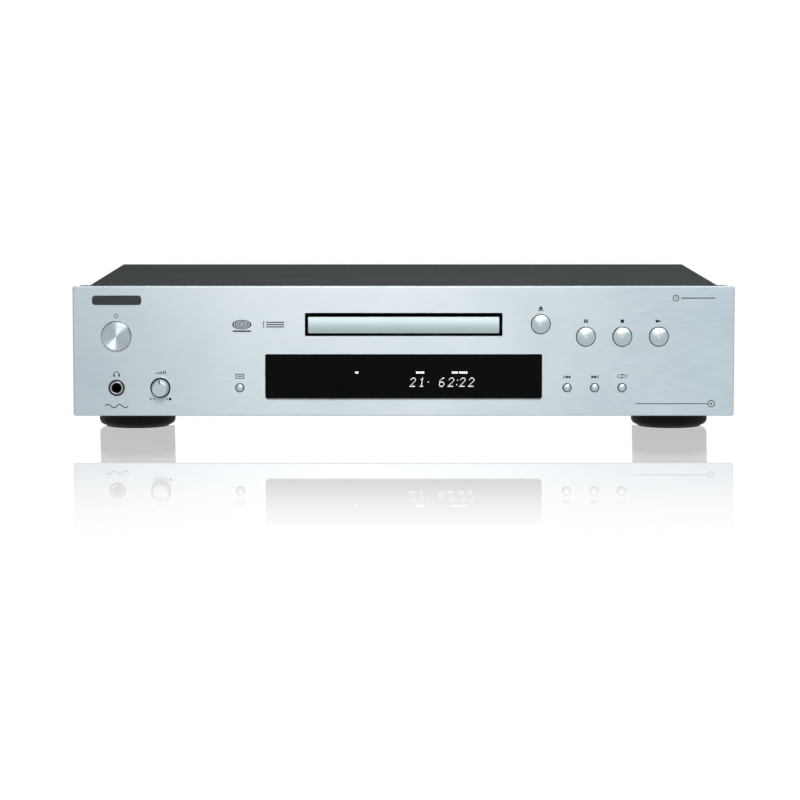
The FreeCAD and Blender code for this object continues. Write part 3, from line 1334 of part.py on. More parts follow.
def flat_board(name):
    """Horizontal circuit board with a screw hole near each corner."""
    x, y = BOARDS[name]
    board = box(x, y, (BOARD_LEVEL, BOARD_LEVEL + BOARD_T))
    holes = [disc_z(at, M3_HOLE_R, BOARD_LEVEL - 1, BOARD_LEVEL + 3)
             for at in board_corners(name)]
    return cut(board, *holes)


def every_board_corner():
    """Screw places of both horizontal boards."""
    return [at for name in BOARDS for at in board_corners(name)]


def board_posts():
    """Posts pressed into the base that carry the horizontal boards."""
    post_r = 3.2
    return [disc_z(at, post_r, BASE_BOTTOM + 0.5, BOARD_LEVEL) for at in every_board_corner()]


def board_screws():
    """Screws that hold the level boards, the transformer and the front board."""
    screws = [upright_screw(at, TOP_OF_BOARD, POST_SHANK_R, 7.0) for at in every_board_corner()]
    screws += [upright_screw(at, FLOOR + EAR_T, M3_FILL_R, 2.5) for at in transformer_bolts()]
    screws += [screw_y(at, 2.4, 1.4, BOSS_SHANK_R, BOARD_BACK, -6.0) for at in FRONT_BOSSES]
    return screws


def upright_screw(at, seat_z, shank_r, reach):
    """Pan-head screw standing on a level face."""
    head_r, head_t = 2.8, 1.8
    head = disc_z(at, head_r, seat_z, seat_z + head_t)
    head = round_rim(head, 0.7, lambda c: c.z > seat_z + head_t - 0.01)
    shank = disc_z(at, shank_r, seat_z - reach, seat_z + 0.3)
    slot = box(around(at[0], 3.4), around(at[1], RECESS_W), (seat_z + head_t / 2, seat_z + 3))
    return cut(join(head, shank), slot)


TOP_OF_BOARD = BOARD_LEVEL + BOARD_T
CAPACITORS = {
    # (x, y): (radius, height)
    (-184.0, -30.0): (9.0, 30.0),
    (-162.0, -30.0): (9.0, 30.0),
    (-140.0, -12.0): (6.3, 20.0),
    (-122.0, -12.0): (6.3, 20.0),
    (-184.0, 10.0): (5.0, 12.0),
    (-168.0, 10.0): (5.0, 12.0),
    (104.0, 20.0): (5.0, 12.0),
    (118.0, 20.0): (5.0, 12.0),
    (150.0, 40.0): (6.3, 16.0),
    (168.0, 40.0): (6.3, 16.0),
    (150.0, 96.0): (4.0, 11.0),
    (164.0, 96.0): (4.0, 11.0),
    (178.0, 96.0): (4.0, 11.0),
}


def capacitors():
    """Electrolytic capacitors on both horizontal boards."""
    cans = []
    for at, (radius, height) in CAPACITORS.items():
        can = disc_z(at, radius, TOP_OF_BOARD, TOP_OF_BOARD + height)
        cans.append(round_rim(can, 0.6, lambda c: c.z > TOP_OF_BOARD + 1))
    return group(cans)


CHIPS = {
    # (x, y): (width, depth, height)
    (110.0, -30.0): (20.0, 20.0, 1.6),
    (150.0, -40.0): (12.0, 20.0, 1.6),
    (130.0, 70.0): (8.0, 12.0, 1.6),
    (175.0, -10.0): (9.0, 7.0, 1.6),
    (-110.0, -50.0): (10.0, 12.0, 2.0),
}


def circuit_chips():
    """Signal and control circuits soldered flat on the boards."""
    return [box(around(at[0], w), around(at[1], d), (TOP_OF_BOARD, TOP_OF_BOARD + h))
            for at, (w, d, h) in CHIPS.items()]


SINK_AT = (-118.0, 12.0)


def heat_sink():
    """Finned aluminium sink for the voltage regulators."""
    x, y = SINK_AT
    width, height = 40.0, 34.0
    fin_t, fin_step, fin_reach = 1.4, 6, 12.0
    z = (TOP_OF_BOARD, TOP_OF_BOARD + height)
    spine = box(around(x, width), around(y, 3.0), z)
    fins = [box(around(x + step * fin_step, fin_t), (y + 1.0, y + fin_reach), z)
            for step in range(-3, 4)]
    return join(spine, *fins)


def regulators():
    """Voltage regulators screwed to the heat sink."""
    return [box(around(SINK_AT[0] + dx, 10.0), (SINK_AT[1] - 6.0, SINK_AT[1] - 1.5),
                (TOP_OF_BOARD, TOP_OF_BOARD + 20.0)) for dx in (-13.0, 0.0, 13.0)]


RIBBON_RUNS = {
    # name: (x, height where it leaves the front board, y where it reaches its board)
    "power_ribbon": (-140.0, 56.0, -90.0),
    "audio_ribbon": (165.0, 56.0, -80.0),
}


HEADER_W = 26.0
HEADER_T = 5.0
HEADER_HEIGHT = 6.0


def ribbon(x, z_front, y_board):
    """Flat cable from a header on the front board down to a header on a level board."""
    width = 22.0
    thick = 0.8
    front_y = BOARD_BACK + HEADER_T
    level = TOP_OF_BOARD + HEADER_HEIGHT
    bend = 8.0
    run = [
        box(around(x, width), (front_y, front_y + thick), (level + bend, z_front)),
        box(around(x, width), (front_y + bend, y_board + 3.0), (level, level + thick)),
    ]
    outer = disc_x(front_y + bend, level + bend, bend, x - width / 2, x + width / 2)
    inner = disc_x(front_y + bend, level + bend, bend - thick, x - width / 2 - 1, x + width / 2 + 1)
    corner = box(around(x, width), (front_y, front_y + bend), (level, level + bend))
    return join(*run, cut(outer, inner).common(corner))


def ribbon_cables():
    """Flat cables between the front board and the two level boards."""
    return group([ribbon(*run) for run in RIBBON_RUNS.values()])


def ribbon_headers():
    """Moulded headers that hold both ends of each flat cable."""
    headers = []
    for x, z_front, y_board in RIBBON_RUNS.values():
        headers.append(box(around(x, HEADER_W), (BOARD_BACK, BOARD_BACK + HEADER_T),
                           (z_front - HEADER_T, z_front + 2.0)))
        headers.append(box(around(x, HEADER_W), (y_board, y_board + HEADER_T),
                           (TOP_OF_BOARD, TOP_OF_BOARD + HEADER_HEIGHT)))
    return headers


# ---- Nodes ----------------------------------------------------------------------------

def button_nodes():
    """The eight round push buttons."""
    nodes = {}
    for name, at in ROUND_BUTTONS.items():
        nodes[name] = push_button(at, ROUND_R, 2.2, 1.1, 1.0)
    for name, at in SMALL_BUTTONS.items():
        nodes[name] = push_button(at, SMALL_R, 0.9, 0.5, 0.8)
    return nodes


def traverse_nodes():
    """Everything that hangs on the traverse, in its rest position."""
    nodes = {
        "traverse_plate": traverse_plate(),
        "guide_rods": guide_rods(),
        "traverse_motors": group([spindle_motor(), sled_motor()]),
        "spindle_hub": spindle_hub(),
        "optical_pickup": optical_pickup(),
        "pickup_lens": pickup_lens(),
        "sled_gear": sled_gear(),
        "sled_pinion": sled_pinion(),
    }
    return {name: hang_down(shape) for name, shape in nodes.items()}


def all_nodes():
    """Every piece of the player by name."""
    nodes = {
        "front_panel": front_panel(),
        "front_frame": front_frame(),
        "display_window": display_window(),
        "badge_plate": badge_plate(),
        "power_button": power_button(),
        "level_knob": level_knob(),
        "level_shaft": level_shaft(),
        "level_control": level_control(),
        "phones_socket": phones_socket(),
        "socket_ring": socket_ring(),
        "front_board": front_board(),
        "front_switches": front_switches(),
        "display_tube": display_tube(),
        "top_cover": top_cover(),
        "chassis_base": chassis_base(),
        "rear_panel": rear_panel(),
        "case_screws": group(cover_screws() + panel_screws()),
        "inner_screws": group(foot_screws() + loader_screws() + board_screws()),
        "feet": group([foot(at) for at in FOOT_PLACES]),
        "foot_pads": foot_pads(),
        "rear_sockets": group([jack_block(), optical_socket(), control_jack()]),
        "jack_cores": jack_cores(),
        "plated_contacts": group(jack_sleeves() + inlet_pins()),
        "optical_shutter": optical_shutter(),
        "mains_inlet": mains_inlet(),
        "disc_tray": disc_tray(),
        "tray_door": tray_door(),
        "loader_frame": loader_frame(),
        "dampers": dampers(),
        "clamp_bridge": clamp_bridge(),
        "clamp_puck": clamp_puck(),
        "loading_motor": loading_motor(),
        "motor_pulley": motor_pulley(),
        "drive_belt": drive_belt(),
        "pulley_gear": pulley_gear(),
        "tray_gear": tray_gear(),
        "lift_cam": lift_cam(),
        "transformer_core": transformer_core(),
        "transformer_coil": transformer_coil(),
        "level_boards": group([flat_board(name) for name in BOARDS]),
        "capacitors": capacitors(),
        "circuit_parts": group(circuit_chips() + regulators() + ribbon_headers()
                               + [remote_sensor(), display_holder()]),
        "heat_sink": heat_sink(),
        "ribbon_cables": ribbon_cables(),
    }
    nodes.update(button_nodes())
    nodes.update(traverse_nodes())
    return nodes


def main():
    os.makedirs("parts", exist_ok=True)
    for name, shape in all_nodes().items():
        shape.exportStep(os.path.join("parts", name + ".step"))
        print(name, len(shape.Solids), "solids", round(shape.Volume, 1), "mm3", shape.isValid())


main()
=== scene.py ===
import math

import bmesh
import bpy
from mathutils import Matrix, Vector


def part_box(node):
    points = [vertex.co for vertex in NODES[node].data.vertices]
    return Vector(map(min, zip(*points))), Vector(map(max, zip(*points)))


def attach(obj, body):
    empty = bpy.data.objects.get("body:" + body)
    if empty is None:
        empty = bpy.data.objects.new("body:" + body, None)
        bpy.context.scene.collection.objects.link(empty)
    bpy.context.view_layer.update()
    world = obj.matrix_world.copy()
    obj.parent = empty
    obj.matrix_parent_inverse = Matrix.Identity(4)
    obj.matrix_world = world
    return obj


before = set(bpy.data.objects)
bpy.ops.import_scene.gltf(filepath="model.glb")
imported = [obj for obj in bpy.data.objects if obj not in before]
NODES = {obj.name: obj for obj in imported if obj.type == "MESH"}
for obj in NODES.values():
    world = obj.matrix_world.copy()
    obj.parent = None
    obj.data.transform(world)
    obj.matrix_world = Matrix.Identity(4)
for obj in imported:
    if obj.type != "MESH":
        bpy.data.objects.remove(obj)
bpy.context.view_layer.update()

MM = 0.001               # the scene is in metres, and marks are drawn in mm

# ---- Places worked out from the frame -------------------------------------------------

def middle(node):
    """Centre of a CAD node's box."""
    low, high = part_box(node)
    return (low + high) / 2


def over(node, rise):
    """(x, z) in mm of a place above the middle of a control."""
    at = middle(node) / MM
    return at.x, at.z + rise


PANEL_LOW, PANEL_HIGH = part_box("front_panel")
FACE_Y = PANEL_LOW.y
WINDOW_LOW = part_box("display_window")[0]


# ---- Camera ---------------------------------------------------------------------------

CAMERA_SIDE = -0.0049
CAMERA_DISTANCE = 2.103   # in front of the panel
CAMERA_HEIGHT = 0.2258
PITCH_DOWN = 5.425        # degrees
YAW_RIGHT = 0.068         # degrees
LENS_MM = 144.3
SENSOR_MM = 36.0
VIEW_END = 30.0


def add_camera():
    """Long lens in front of the player and a little above it, looking slightly down."""
    camera = bpy.data.objects.new("camera", bpy.data.cameras.new("camera"))
    camera.data.lens = LENS_MM
    camera.data.sensor_width = SENSOR_MM
    camera.data.clip_end = VIEW_END
    camera.location = (CAMERA_SIDE, FACE_Y - CAMERA_DISTANCE, CAMERA_HEIGHT)
    camera.rotation_euler = (math.pi / 2 - math.radians(PITCH_DOWN), 0.0,
                             -math.radians(YAW_RIGHT))
    bpy.context.scene.collection.objects.link(camera)
    bpy.context.scene.camera = camera


# ---- Node helpers ---------------------------------------------------------------------

NOISE_RANGE = (0.3, 0.7)
EDGE_BEND = (0.99, 0.80)  # dot of the two normals on a flat face and on a sharp edge


def new_material(name):
    """Material with its shader and links: (material, nodes, links, shader)."""
    material = bpy.data.materials.new(name)
    material.use_nodes = True
    tree = material.node_tree
    return material, tree.nodes, tree.links, tree.nodes["Principled BSDF"]


def object_place(nodes, links, scale):
    """Object coordinates in metres, stretched by a scale along each axis."""
    coordinates = nodes.new("ShaderNodeTexCoord")
    mapping = nodes.new("ShaderNodeMapping")
    mapping.inputs["Scale"].default_value = scale
    links.new(coordinates.outputs["Object"], mapping.inputs["Vector"])
    return mapping.outputs["Vector"]


def noise(nodes, links, place, scale, detail=4.0):
    """Noise value at a place."""
    texture = nodes.new("ShaderNodeTexNoise")
    texture.inputs["Scale"].default_value = scale
    texture.inputs["Detail"].default_value = detail
    links.new(place, texture.inputs["Vector"])
    return texture.outputs["Fac"]


def map_range(nodes, links, value, source, target, interpolation="LINEAR"):
    """Value carried over from one (low, high) range to another, and kept inside it."""
    ranged = nodes.new("ShaderNodeMapRange")
    ranged.interpolation_type = interpolation
    ranged.inputs["From Min"].default_value, ranged.inputs["From Max"].default_value = source
    ranged.inputs["To Min"].default_value, ranged.inputs["To Max"].default_value = target
    links.new(value, ranged.inputs["Value"])
    return ranged.outputs["Result"]


def spread(nodes, links, value, low, high):
    """Noise, which mostly lies inside NOISE_RANGE, spread over low..high."""
    return map_range(nodes, links, value, NOISE_RANGE, (low, high))


def math_node(nodes, links, operation, first, second):
    """Result of one sum; each input is a socket or a number."""
    node = nodes.new("ShaderNodeMath")
    node.operation = operation
    for socket, value in zip(node.inputs, (first, second)):
        if isinstance(value, (int, float)):
            socket.default_value = value
        else:
            links.new(value, socket)
    return node.outputs["Value"]


def blend_colours(nodes, links, value, dark, light):
    """Colour between two colours by a value from 0 to 1."""
    mix = nodes.new("ShaderNodeMix")
    mix.data_type = "RGBA"
    mix.inputs["A"].default_value = (*dark, 1.0)
    mix.inputs["B"].default_value = (*light, 1.0)
    links.new(value, mix.inputs["Factor"])
    return mix.outputs["Result"]


def add_bump(nodes, links, shader, value, strength, depth_mm):
    """Bump from a value, with its depth in millimetres."""
    bump = nodes.new("ShaderNodeBump")
    bump.inputs["Strength"].default_value = strength
    bump.inputs["Distance"].default_value = depth_mm * MM
    links.new(value, bump.inputs["Height"])
    links.new(bump.outputs["Normal"], shader.inputs["Normal"])


def sharp_edge_mask(nodes, links, width_mm):
    """1 on sharp edges and 0 elsewhere, from the rounded normal."""
    bevel = nodes.new("ShaderNodeBevel")
    bevel.inputs["Radius"].default_value = width_mm * MM
    bevel.samples = 4
    geometry = nodes.new("ShaderNodeNewGeometry")
    dot = nodes.new("ShaderNodeVectorMath")
    dot.operation = "DOT_PRODUCT"
    links.new(bevel.outputs["Normal"], dot.inputs[0])
    links.new(geometry.outputs["Normal"], dot.inputs[1])
    return map_range(nodes, links, dot.outputs["Value"], EDGE_BEND, (0.0, 1.0))


# ---- Surface finishes -------------------------------------------------------------------

CLOUDS = 14.0             # soft patches per metre in every finish
COAT_ROUGHNESS = 0.12
QUARTER_TURN = 0.25       # of the direction in which a brushed highlight is stretched


def turned_place(nodes, links, centre):
    """Distance from a front-to-back axis through a centre as a vector, for lathe rings."""
    coordinates = nodes.new("ShaderNodeTexCoord")
    offset = nodes.new("ShaderNodeVectorMath")
    offset.operation = "SUBTRACT"
    offset.inputs[1].default_value = centre
    links.new(coordinates.outputs["Object"], offset.inputs[0])
    flat = nodes.new("ShaderNodeVectorMath")
    flat.operation = "MULTIPLY"
    flat.inputs[1].default_value = (1.0, 0.0, 1.0)
    links.new(offset.outputs["Vector"], flat.inputs[0])
    length = nodes.new("ShaderNodeVectorMath")
    length.operation = "LENGTH"
    links.new(flat.outputs["Vector"], length.inputs[0])
    combine = nodes.new("ShaderNodeCombineXYZ")
    links.new(length.outputs["Value"], combine.inputs["X"])
    return combine.outputs["Vector"]


def surface(name, dark, light, roughness, metallic=0.0, grain=900.0, stretch=(1, 1, 1),
            depth=0.02, strength=0.3, specular=0.5, edge_wear_and_highlight=None, edge_wear_and_highlight_width=0.25, brushed=None,
            anisotropy=0.6, across=False, centre=None, coat=0.0, sheen=0.0):
    """A finish with fine grain, large soft clouds, a roughness that follows both, and lighter
    edges, which are wear and, on the front panel, also a painted highlight.

    Colours are linear. The grain is in features per metre, depths and widths are in mm. brushed
    is the axis that a brushed highlight circles; a centre makes the grain rings cut on a lathe,
    and across turns the highlight a quarter round.
    """
    material, nodes, links, shader = new_material(name)
    if centre is None:
        place = object_place(nodes, links, stretch)
    else:
        place = turned_place(nodes, links, centre)
    even = object_place(nodes, links, (1, 1, 1))
    fine = noise(nodes, links, place, grain)
    soft = noise(nodes, links, even, CLOUDS, detail=2.0)
    both = math_node(nodes, links, "ADD", spread(nodes, links, fine, 0.0, 0.65),
                     spread(nodes, links, soft, 0.0, 0.35))
    colour = blend_colours(nodes, links, both, dark, light)
    # Lighter sharp edges: wear on most finishes, and on the front panel a painted highlight where
    # its rounded edges catch the light.
    if edge_wear_and_highlight is not None:
        edge_wear_and_highlight_mask = math_node(nodes, links, "MULTIPLY", sharp_edge_mask(nodes, links, edge_wear_and_highlight_width),
                           spread(nodes, links, soft, 0.35, 1.0))
        edge_wear_and_highlight_mix = nodes.new("ShaderNodeMix")
        edge_wear_and_highlight_mix.data_type = "RGBA"
        links.new(edge_wear_and_highlight_mask, edge_wear_and_highlight_mix.inputs["Factor"])
        links.new(colour, edge_wear_and_highlight_mix.inputs["A"])
        edge_wear_and_highlight_mix.inputs["B"].default_value = (*edge_wear_and_highlight, 1.0)
        colour = edge_wear_and_highlight_mix.outputs["Result"]
    links.new(colour, shader.inputs["Base Color"])
    links.new(spread(nodes, links, both, *roughness), shader.inputs["Roughness"])
    add_bump(nodes, links, shader, fine, strength, depth)
    shader.inputs["Metallic"].default_value = metallic
    shader.inputs["Specular IOR Level"].default_value = specular
    shader.inputs["Coat Weight"].default_value = coat
    shader.inputs["Coat Roughness"].default_value = COAT_ROUGHNESS
    shader.inputs["Sheen Weight"].default_value = sheen
    if brushed is not None:
        shader.inputs["Anisotropic"].default_value = anisotropy
        shader.inputs["Anisotropic Rotation"].default_value = QUARTER_TURN if across else 0.0
        tangent = nodes.new("ShaderNodeTangent")
        tangent.direction_type = "RADIAL"
        tangent.axis = brushed.upper()
        links.new(tangent.outputs["Tangent"], shader.inputs["Tangent"])
    return material


def lamp_material(name, low, high, strength):
    """Glowing phosphor with a fine mesh of brighter and darker grains."""
    grains_per_metre = 3500.0
    material, nodes, links, shader = new_material(name)
    grain = noise(nodes, links, object_place(nodes, links, (1, 1, 1)), grains_per_metre)
    colour = blend_colours(nodes, links, spread(nodes, links, grain, 0.0, 1.0), low, high)
    links.new(colour, shader.inputs["Base Color"])
    links.new(colour, shader.inputs["Emission Color"])
    shader.inputs["Emission Strength"].default_value = strength
    links.new(spread(nodes, links, grain, 0.4, 0.6), shader.inputs["Roughness"])
    return material


SILVER_DARK = (0.565, 0.68, 0.735)
SILVER_LIGHT = (0.64, 0.755, 0.81)
BRUSHED_ALONG_X = (0.035, 1.0, 1.0)

FINISHES = {
    # The front panel's near-white edge colour is a painted highlight along its rounded edges, the
    # top edge above all.
    "panel_silver": dict(dark=SILVER_DARK, light=SILVER_LIGHT, roughness=(0.34, 0.42), metallic=1.0,
                         grain=2600.0, stretch=BRUSHED_ALONG_X, depth=0.004, strength=0.25,
                         brushed="x", anisotropy=0.75, edge_wear_and_highlight=(0.96, 0.98, 1.0), edge_wear_and_highlight_width=0.45),
    "door_silver": dict(dark=(0.53, 0.67, 0.69), light=(0.58, 0.72, 0.74), roughness=(0.50, 0.54),
                        metallic=1.0, grain=2600.0, stretch=BRUSHED_ALONG_X, depth=0.001,
                        strength=0.05, brushed="x", anisotropy=0.45),
    "badge_silver": dict(dark=(0.034, 0.040, 0.043), light=(0.06, 0.068, 0.072),
                         roughness=(0.35, 0.45), metallic=0.6, grain=2600.0,
                         stretch=BRUSHED_ALONG_X, depth=0.004, edge_wear_and_highlight=(0.40, 0.44, 0.46),
                         edge_wear_and_highlight_width=0.35),
    "frame_black": dict(dark=(0.012, 0.014, 0.014), light=(0.020, 0.022, 0.023),
                        roughness=(0.45, 0.6), grain=1800.0, depth=0.02, specular=0.14,
                        edge_wear_and_highlight=(0.03, 0.032, 0.034)),
    "window_black": dict(dark=(0.0016, 0.0017, 0.0018), light=(0.0028, 0.003, 0.0032),
                         roughness=(0.05, 0.09), grain=300.0, depth=0.002, strength=0.05,
                         specular=0.06),
    "shaft_steel": dict(dark=(0.42, 0.42, 0.41), light=(0.55, 0.55, 0.54), roughness=(0.22, 0.34),
                        metallic=1.0, grain=2200.0, stretch=(1, 0.1, 1), depth=0.003),
    "control_steel": dict(dark=(0.38, 0.38, 0.37), light=(0.5, 0.5, 0.49), roughness=(0.35, 0.5),
                          metallic=1.0, grain=1500.0, depth=0.006, edge_wear_and_highlight=(0.65, 0.65, 0.64)),
    "socket_black": dict(dark=(0.010, 0.010, 0.011), light=(0.020, 0.020, 0.021),
                         roughness=(0.35, 0.5), grain=1600.0, depth=0.015,
                         edge_wear_and_highlight=(0.06, 0.06, 0.062)),
    "ring_chrome": dict(dark=(0.55, 0.56, 0.57), light=(0.7, 0.71, 0.72), roughness=(0.12, 0.2),
                        metallic=1.0, grain=3000.0, depth=0.002, strength=0.1),
    "board_green": dict(dark=(0.012, 0.075, 0.030), light=(0.022, 0.12, 0.05),
                        roughness=(0.3, 0.45), grain=420.0, depth=0.02, coat=0.4,
                        edge_wear_and_highlight=(0.25, 0.24, 0.14), edge_wear_and_highlight_width=0.3),
    "switch_black": dict(dark=(0.012, 0.012, 0.013), light=(0.024, 0.024, 0.026),
                         roughness=(0.4, 0.55), grain=1600.0, depth=0.01, edge_wear_and_highlight=(0.07, 0.07, 0.07)),
    "tube_glass": dict(dark=(0.02, 0.025, 0.028), light=(0.05, 0.06, 0.065),
                       roughness=(0.04, 0.1), grain=500.0, depth=0.003, coat=0.6),
    "cover_grey": dict(dark=(0.027, 0.033, 0.034), light=(0.038, 0.045, 0.046),
                       roughness=(0.5, 0.62), grain=1400.0, depth=0.03, strength=0.35,
                       specular=0.02, edge_wear_and_highlight=(0.06, 0.068, 0.07), edge_wear_and_highlight_width=0.4),
    "base_steel": dict(dark=(0.40, 0.41, 0.41), light=(0.56, 0.57, 0.57), roughness=(0.32, 0.5),
                       metallic=1.0, grain=160.0, depth=0.006, edge_wear_and_highlight=(0.66, 0.67, 0.67)),
    "rear_black": dict(dark=(0.016, 0.017, 0.018), light=(0.030, 0.031, 0.033),
                       roughness=(0.5, 0.64), grain=1500.0, depth=0.03, edge_wear_and_highlight=(0.10, 0.10, 0.10)),
    "screw_black": dict(dark=(0.03, 0.03, 0.032), light=(0.06, 0.06, 0.062), roughness=(0.3, 0.42),
                        metallic=0.8, grain=2600.0, depth=0.006, edge_wear_and_highlight=(0.22, 0.22, 0.22)),
    "screw_steel": dict(dark=(0.42, 0.41, 0.36), light=(0.58, 0.57, 0.5), roughness=(0.25, 0.4),
                        metallic=1.0, grain=2600.0, depth=0.006, edge_wear_and_highlight=(0.72, 0.72, 0.68)),
    "foot_black": dict(dark=(0.0035, 0.0042, 0.0055), light=(0.007, 0.0082, 0.010),
                       roughness=(0.42, 0.55), grain=1300.0, depth=0.02, specular=0.12,
                       edge_wear_and_highlight=(0.018, 0.019, 0.021), edge_wear_and_highlight_width=0.5),
    "pad_black": dict(dark=(0.010, 0.010, 0.010), light=(0.022, 0.022, 0.022),
                      roughness=(0.75, 0.9), grain=900.0, depth=0.05, sheen=0.25),
    "core_colour": dict(dark=(0.42, 0.012, 0.010), light=(0.60, 0.02, 0.015),
                        roughness=(0.3, 0.42), grain=1200.0, depth=0.01),
    "contact_gold": dict(dark=(0.62, 0.44, 0.16), light=(0.82, 0.62, 0.27), roughness=(0.16, 0.28),
                         metallic=1.0, grain=2600.0, stretch=(1, 0.2, 1), depth=0.003,
                         edge_wear_and_highlight=(0.9, 0.78, 0.5)),
    "tray_black": dict(dark=(0.011, 0.011, 0.012), light=(0.024, 0.024, 0.025),
                       roughness=(0.42, 0.58), grain=1700.0, depth=0.02, edge_wear_and_highlight=(0.05, 0.05, 0.052)),
    "loader_black": dict(dark=(0.014, 0.014, 0.015), light=(0.030, 0.030, 0.031),
                         roughness=(0.45, 0.6), grain=1400.0, depth=0.02, edge_wear_and_highlight=(0.06, 0.06, 0.06)),
    "puck_grey": dict(dark=(0.10, 0.10, 0.105), light=(0.17, 0.17, 0.175), roughness=(0.4, 0.55),
                      grain=1400.0, depth=0.015, edge_wear_and_highlight=(0.28, 0.28, 0.28)),
    "motor_steel": dict(dark=(0.44, 0.44, 0.43), light=(0.6, 0.6, 0.59), roughness=(0.24, 0.38),
                        metallic=1.0, grain=1800.0, stretch=(1, 1, 0.1), depth=0.004,
                        edge_wear_and_highlight=(0.72, 0.72, 0.72)),
    "pinion_brass": dict(dark=(0.50, 0.36, 0.13), light=(0.68, 0.52, 0.22), roughness=(0.24, 0.36),
                         metallic=1.0, grain=2200.0, depth=0.005, edge_wear_and_highlight=(0.85, 0.72, 0.4)),
    "gear_white": dict(dark=(0.58, 0.56, 0.50), light=(0.72, 0.70, 0.64), roughness=(0.35, 0.5),
                       grain=900.0, depth=0.01, specular=0.4),
    "core_steel": dict(dark=(0.16, 0.15, 0.14), light=(0.30, 0.29, 0.27), roughness=(0.4, 0.6),
                       metallic=1.0, grain=1400.0, stretch=(0.05, 1, 0.05), depth=0.03),
    "coil_tape": dict(dark=(0.42, 0.27, 0.05), light=(0.62, 0.43, 0.10), roughness=(0.3, 0.45),
                      grain=500.0, stretch=(0.1, 0.1, 1), depth=0.03, coat=0.3),
    "capacitor_sleeve": dict(dark=(0.012, 0.016, 0.045), light=(0.022, 0.030, 0.08),
                             roughness=(0.25, 0.38), grain=700.0, depth=0.01, coat=0.3,
                             edge_wear_and_highlight=(0.2, 0.2, 0.22)),
    "sink_aluminium": dict(dark=(0.52, 0.53, 0.54), light=(0.66, 0.67, 0.68),
                           roughness=(0.3, 0.45), metallic=1.0, grain=2200.0,
                           stretch=(1, 1, 0.06), depth=0.006, edge_wear_and_highlight=(0.8, 0.8, 0.8)),
    "ribbon_grey": dict(dark=(0.26, 0.26, 0.26), light=(0.42, 0.42, 0.42), roughness=(0.45, 0.6),
                        grain=800.0, stretch=(1, 0.05, 0.05), depth=0.05),
    "pickup_cast": dict(dark=(0.22, 0.22, 0.225), light=(0.36, 0.36, 0.365),
                        roughness=(0.42, 0.58), metallic=0.9, grain=1100.0, depth=0.03,
                        edge_wear_and_highlight=(0.55, 0.55, 0.55)),
    "lens_glass": dict(dark=(0.03, 0.02, 0.06), light=(0.07, 0.05, 0.12), roughness=(0.02, 0.06),
                       grain=400.0, depth=0.002, strength=0.05, coat=1.0),
}
DOMED_FINISH = dict(dark=(0.62, 0.73, 0.75), light=(0.69, 0.80, 0.82), roughness=(0.38, 0.44),
                    metallic=1.0, grain=1400.0, depth=0.0008, strength=0.02)
SPUN_FINISH = dict(dark=(0.68, 0.78, 0.82), light=(0.78, 0.88, 0.92), roughness=(0.36, 0.42),
                   metallic=1.0, grain=5200.0, depth=0.002, strength=0.12, brushed="y",
                   anisotropy=0.92, across=True)
for domed in ("button_silver", "small_button_silver", "knob_silver"):
    FINISHES[domed] = DOMED_FINISH


def give_finishes():
    """Every CAD node gets the finish of its slot, and the power button is cut on a lathe."""
    made = {}
    for node, piece in sorted(NODES.items()):
        for slot in piece.material_slots:
            name = slot.material.name.split(".")[0]
            if name not in made:
                made[name] = surface(name + "_finish", **FINISHES[name])
            slot.material = made[name]
    for slot in NODES["power_button"].material_slots:
        slot.material = surface("spun_finish", centre=middle("power_button"), **SPUN_FINISH)


def colour_cores():
    """The upper sockets get pale cores and the lower one keeps its red."""
    pale = (0.72, 0.71, 0.68, 1.0)
    material = NODES["jack_cores"].material_slots[0].material
    nodes, links = material.node_tree.nodes, material.node_tree.links
    shader = next(node for node in nodes if node.type == "BSDF_PRINCIPLED")
    red = shader.inputs["Base Color"].links[0].from_socket
    place = nodes.new("ShaderNodeTexCoord")
    split = nodes.new("ShaderNodeSeparateXYZ")
    links.new(place.outputs["Object"], split.inputs["Vector"])
    upper = math_node(nodes, links, "GREATER_THAN", split.outputs["Z"], middle("jack_cores").z)
    mix = nodes.new("ShaderNodeMix")
    mix.data_type = "RGBA"
    mix.inputs["B"].default_value = pale
    links.new(upper, mix.inputs["Factor"])
    links.new(red, mix.inputs["A"])
    links.new(mix.outputs["Result"], shader.inputs["Base Color"])


give_finishes()
colour_cores()


# ---- Marks printed on the panels --------------------------------------------------------

PLATE_T = 0.03             # mm that a printed mark, or the painted shade plate on the knob, stands proud
FINE = 0.5               # mm, the width of a fine line


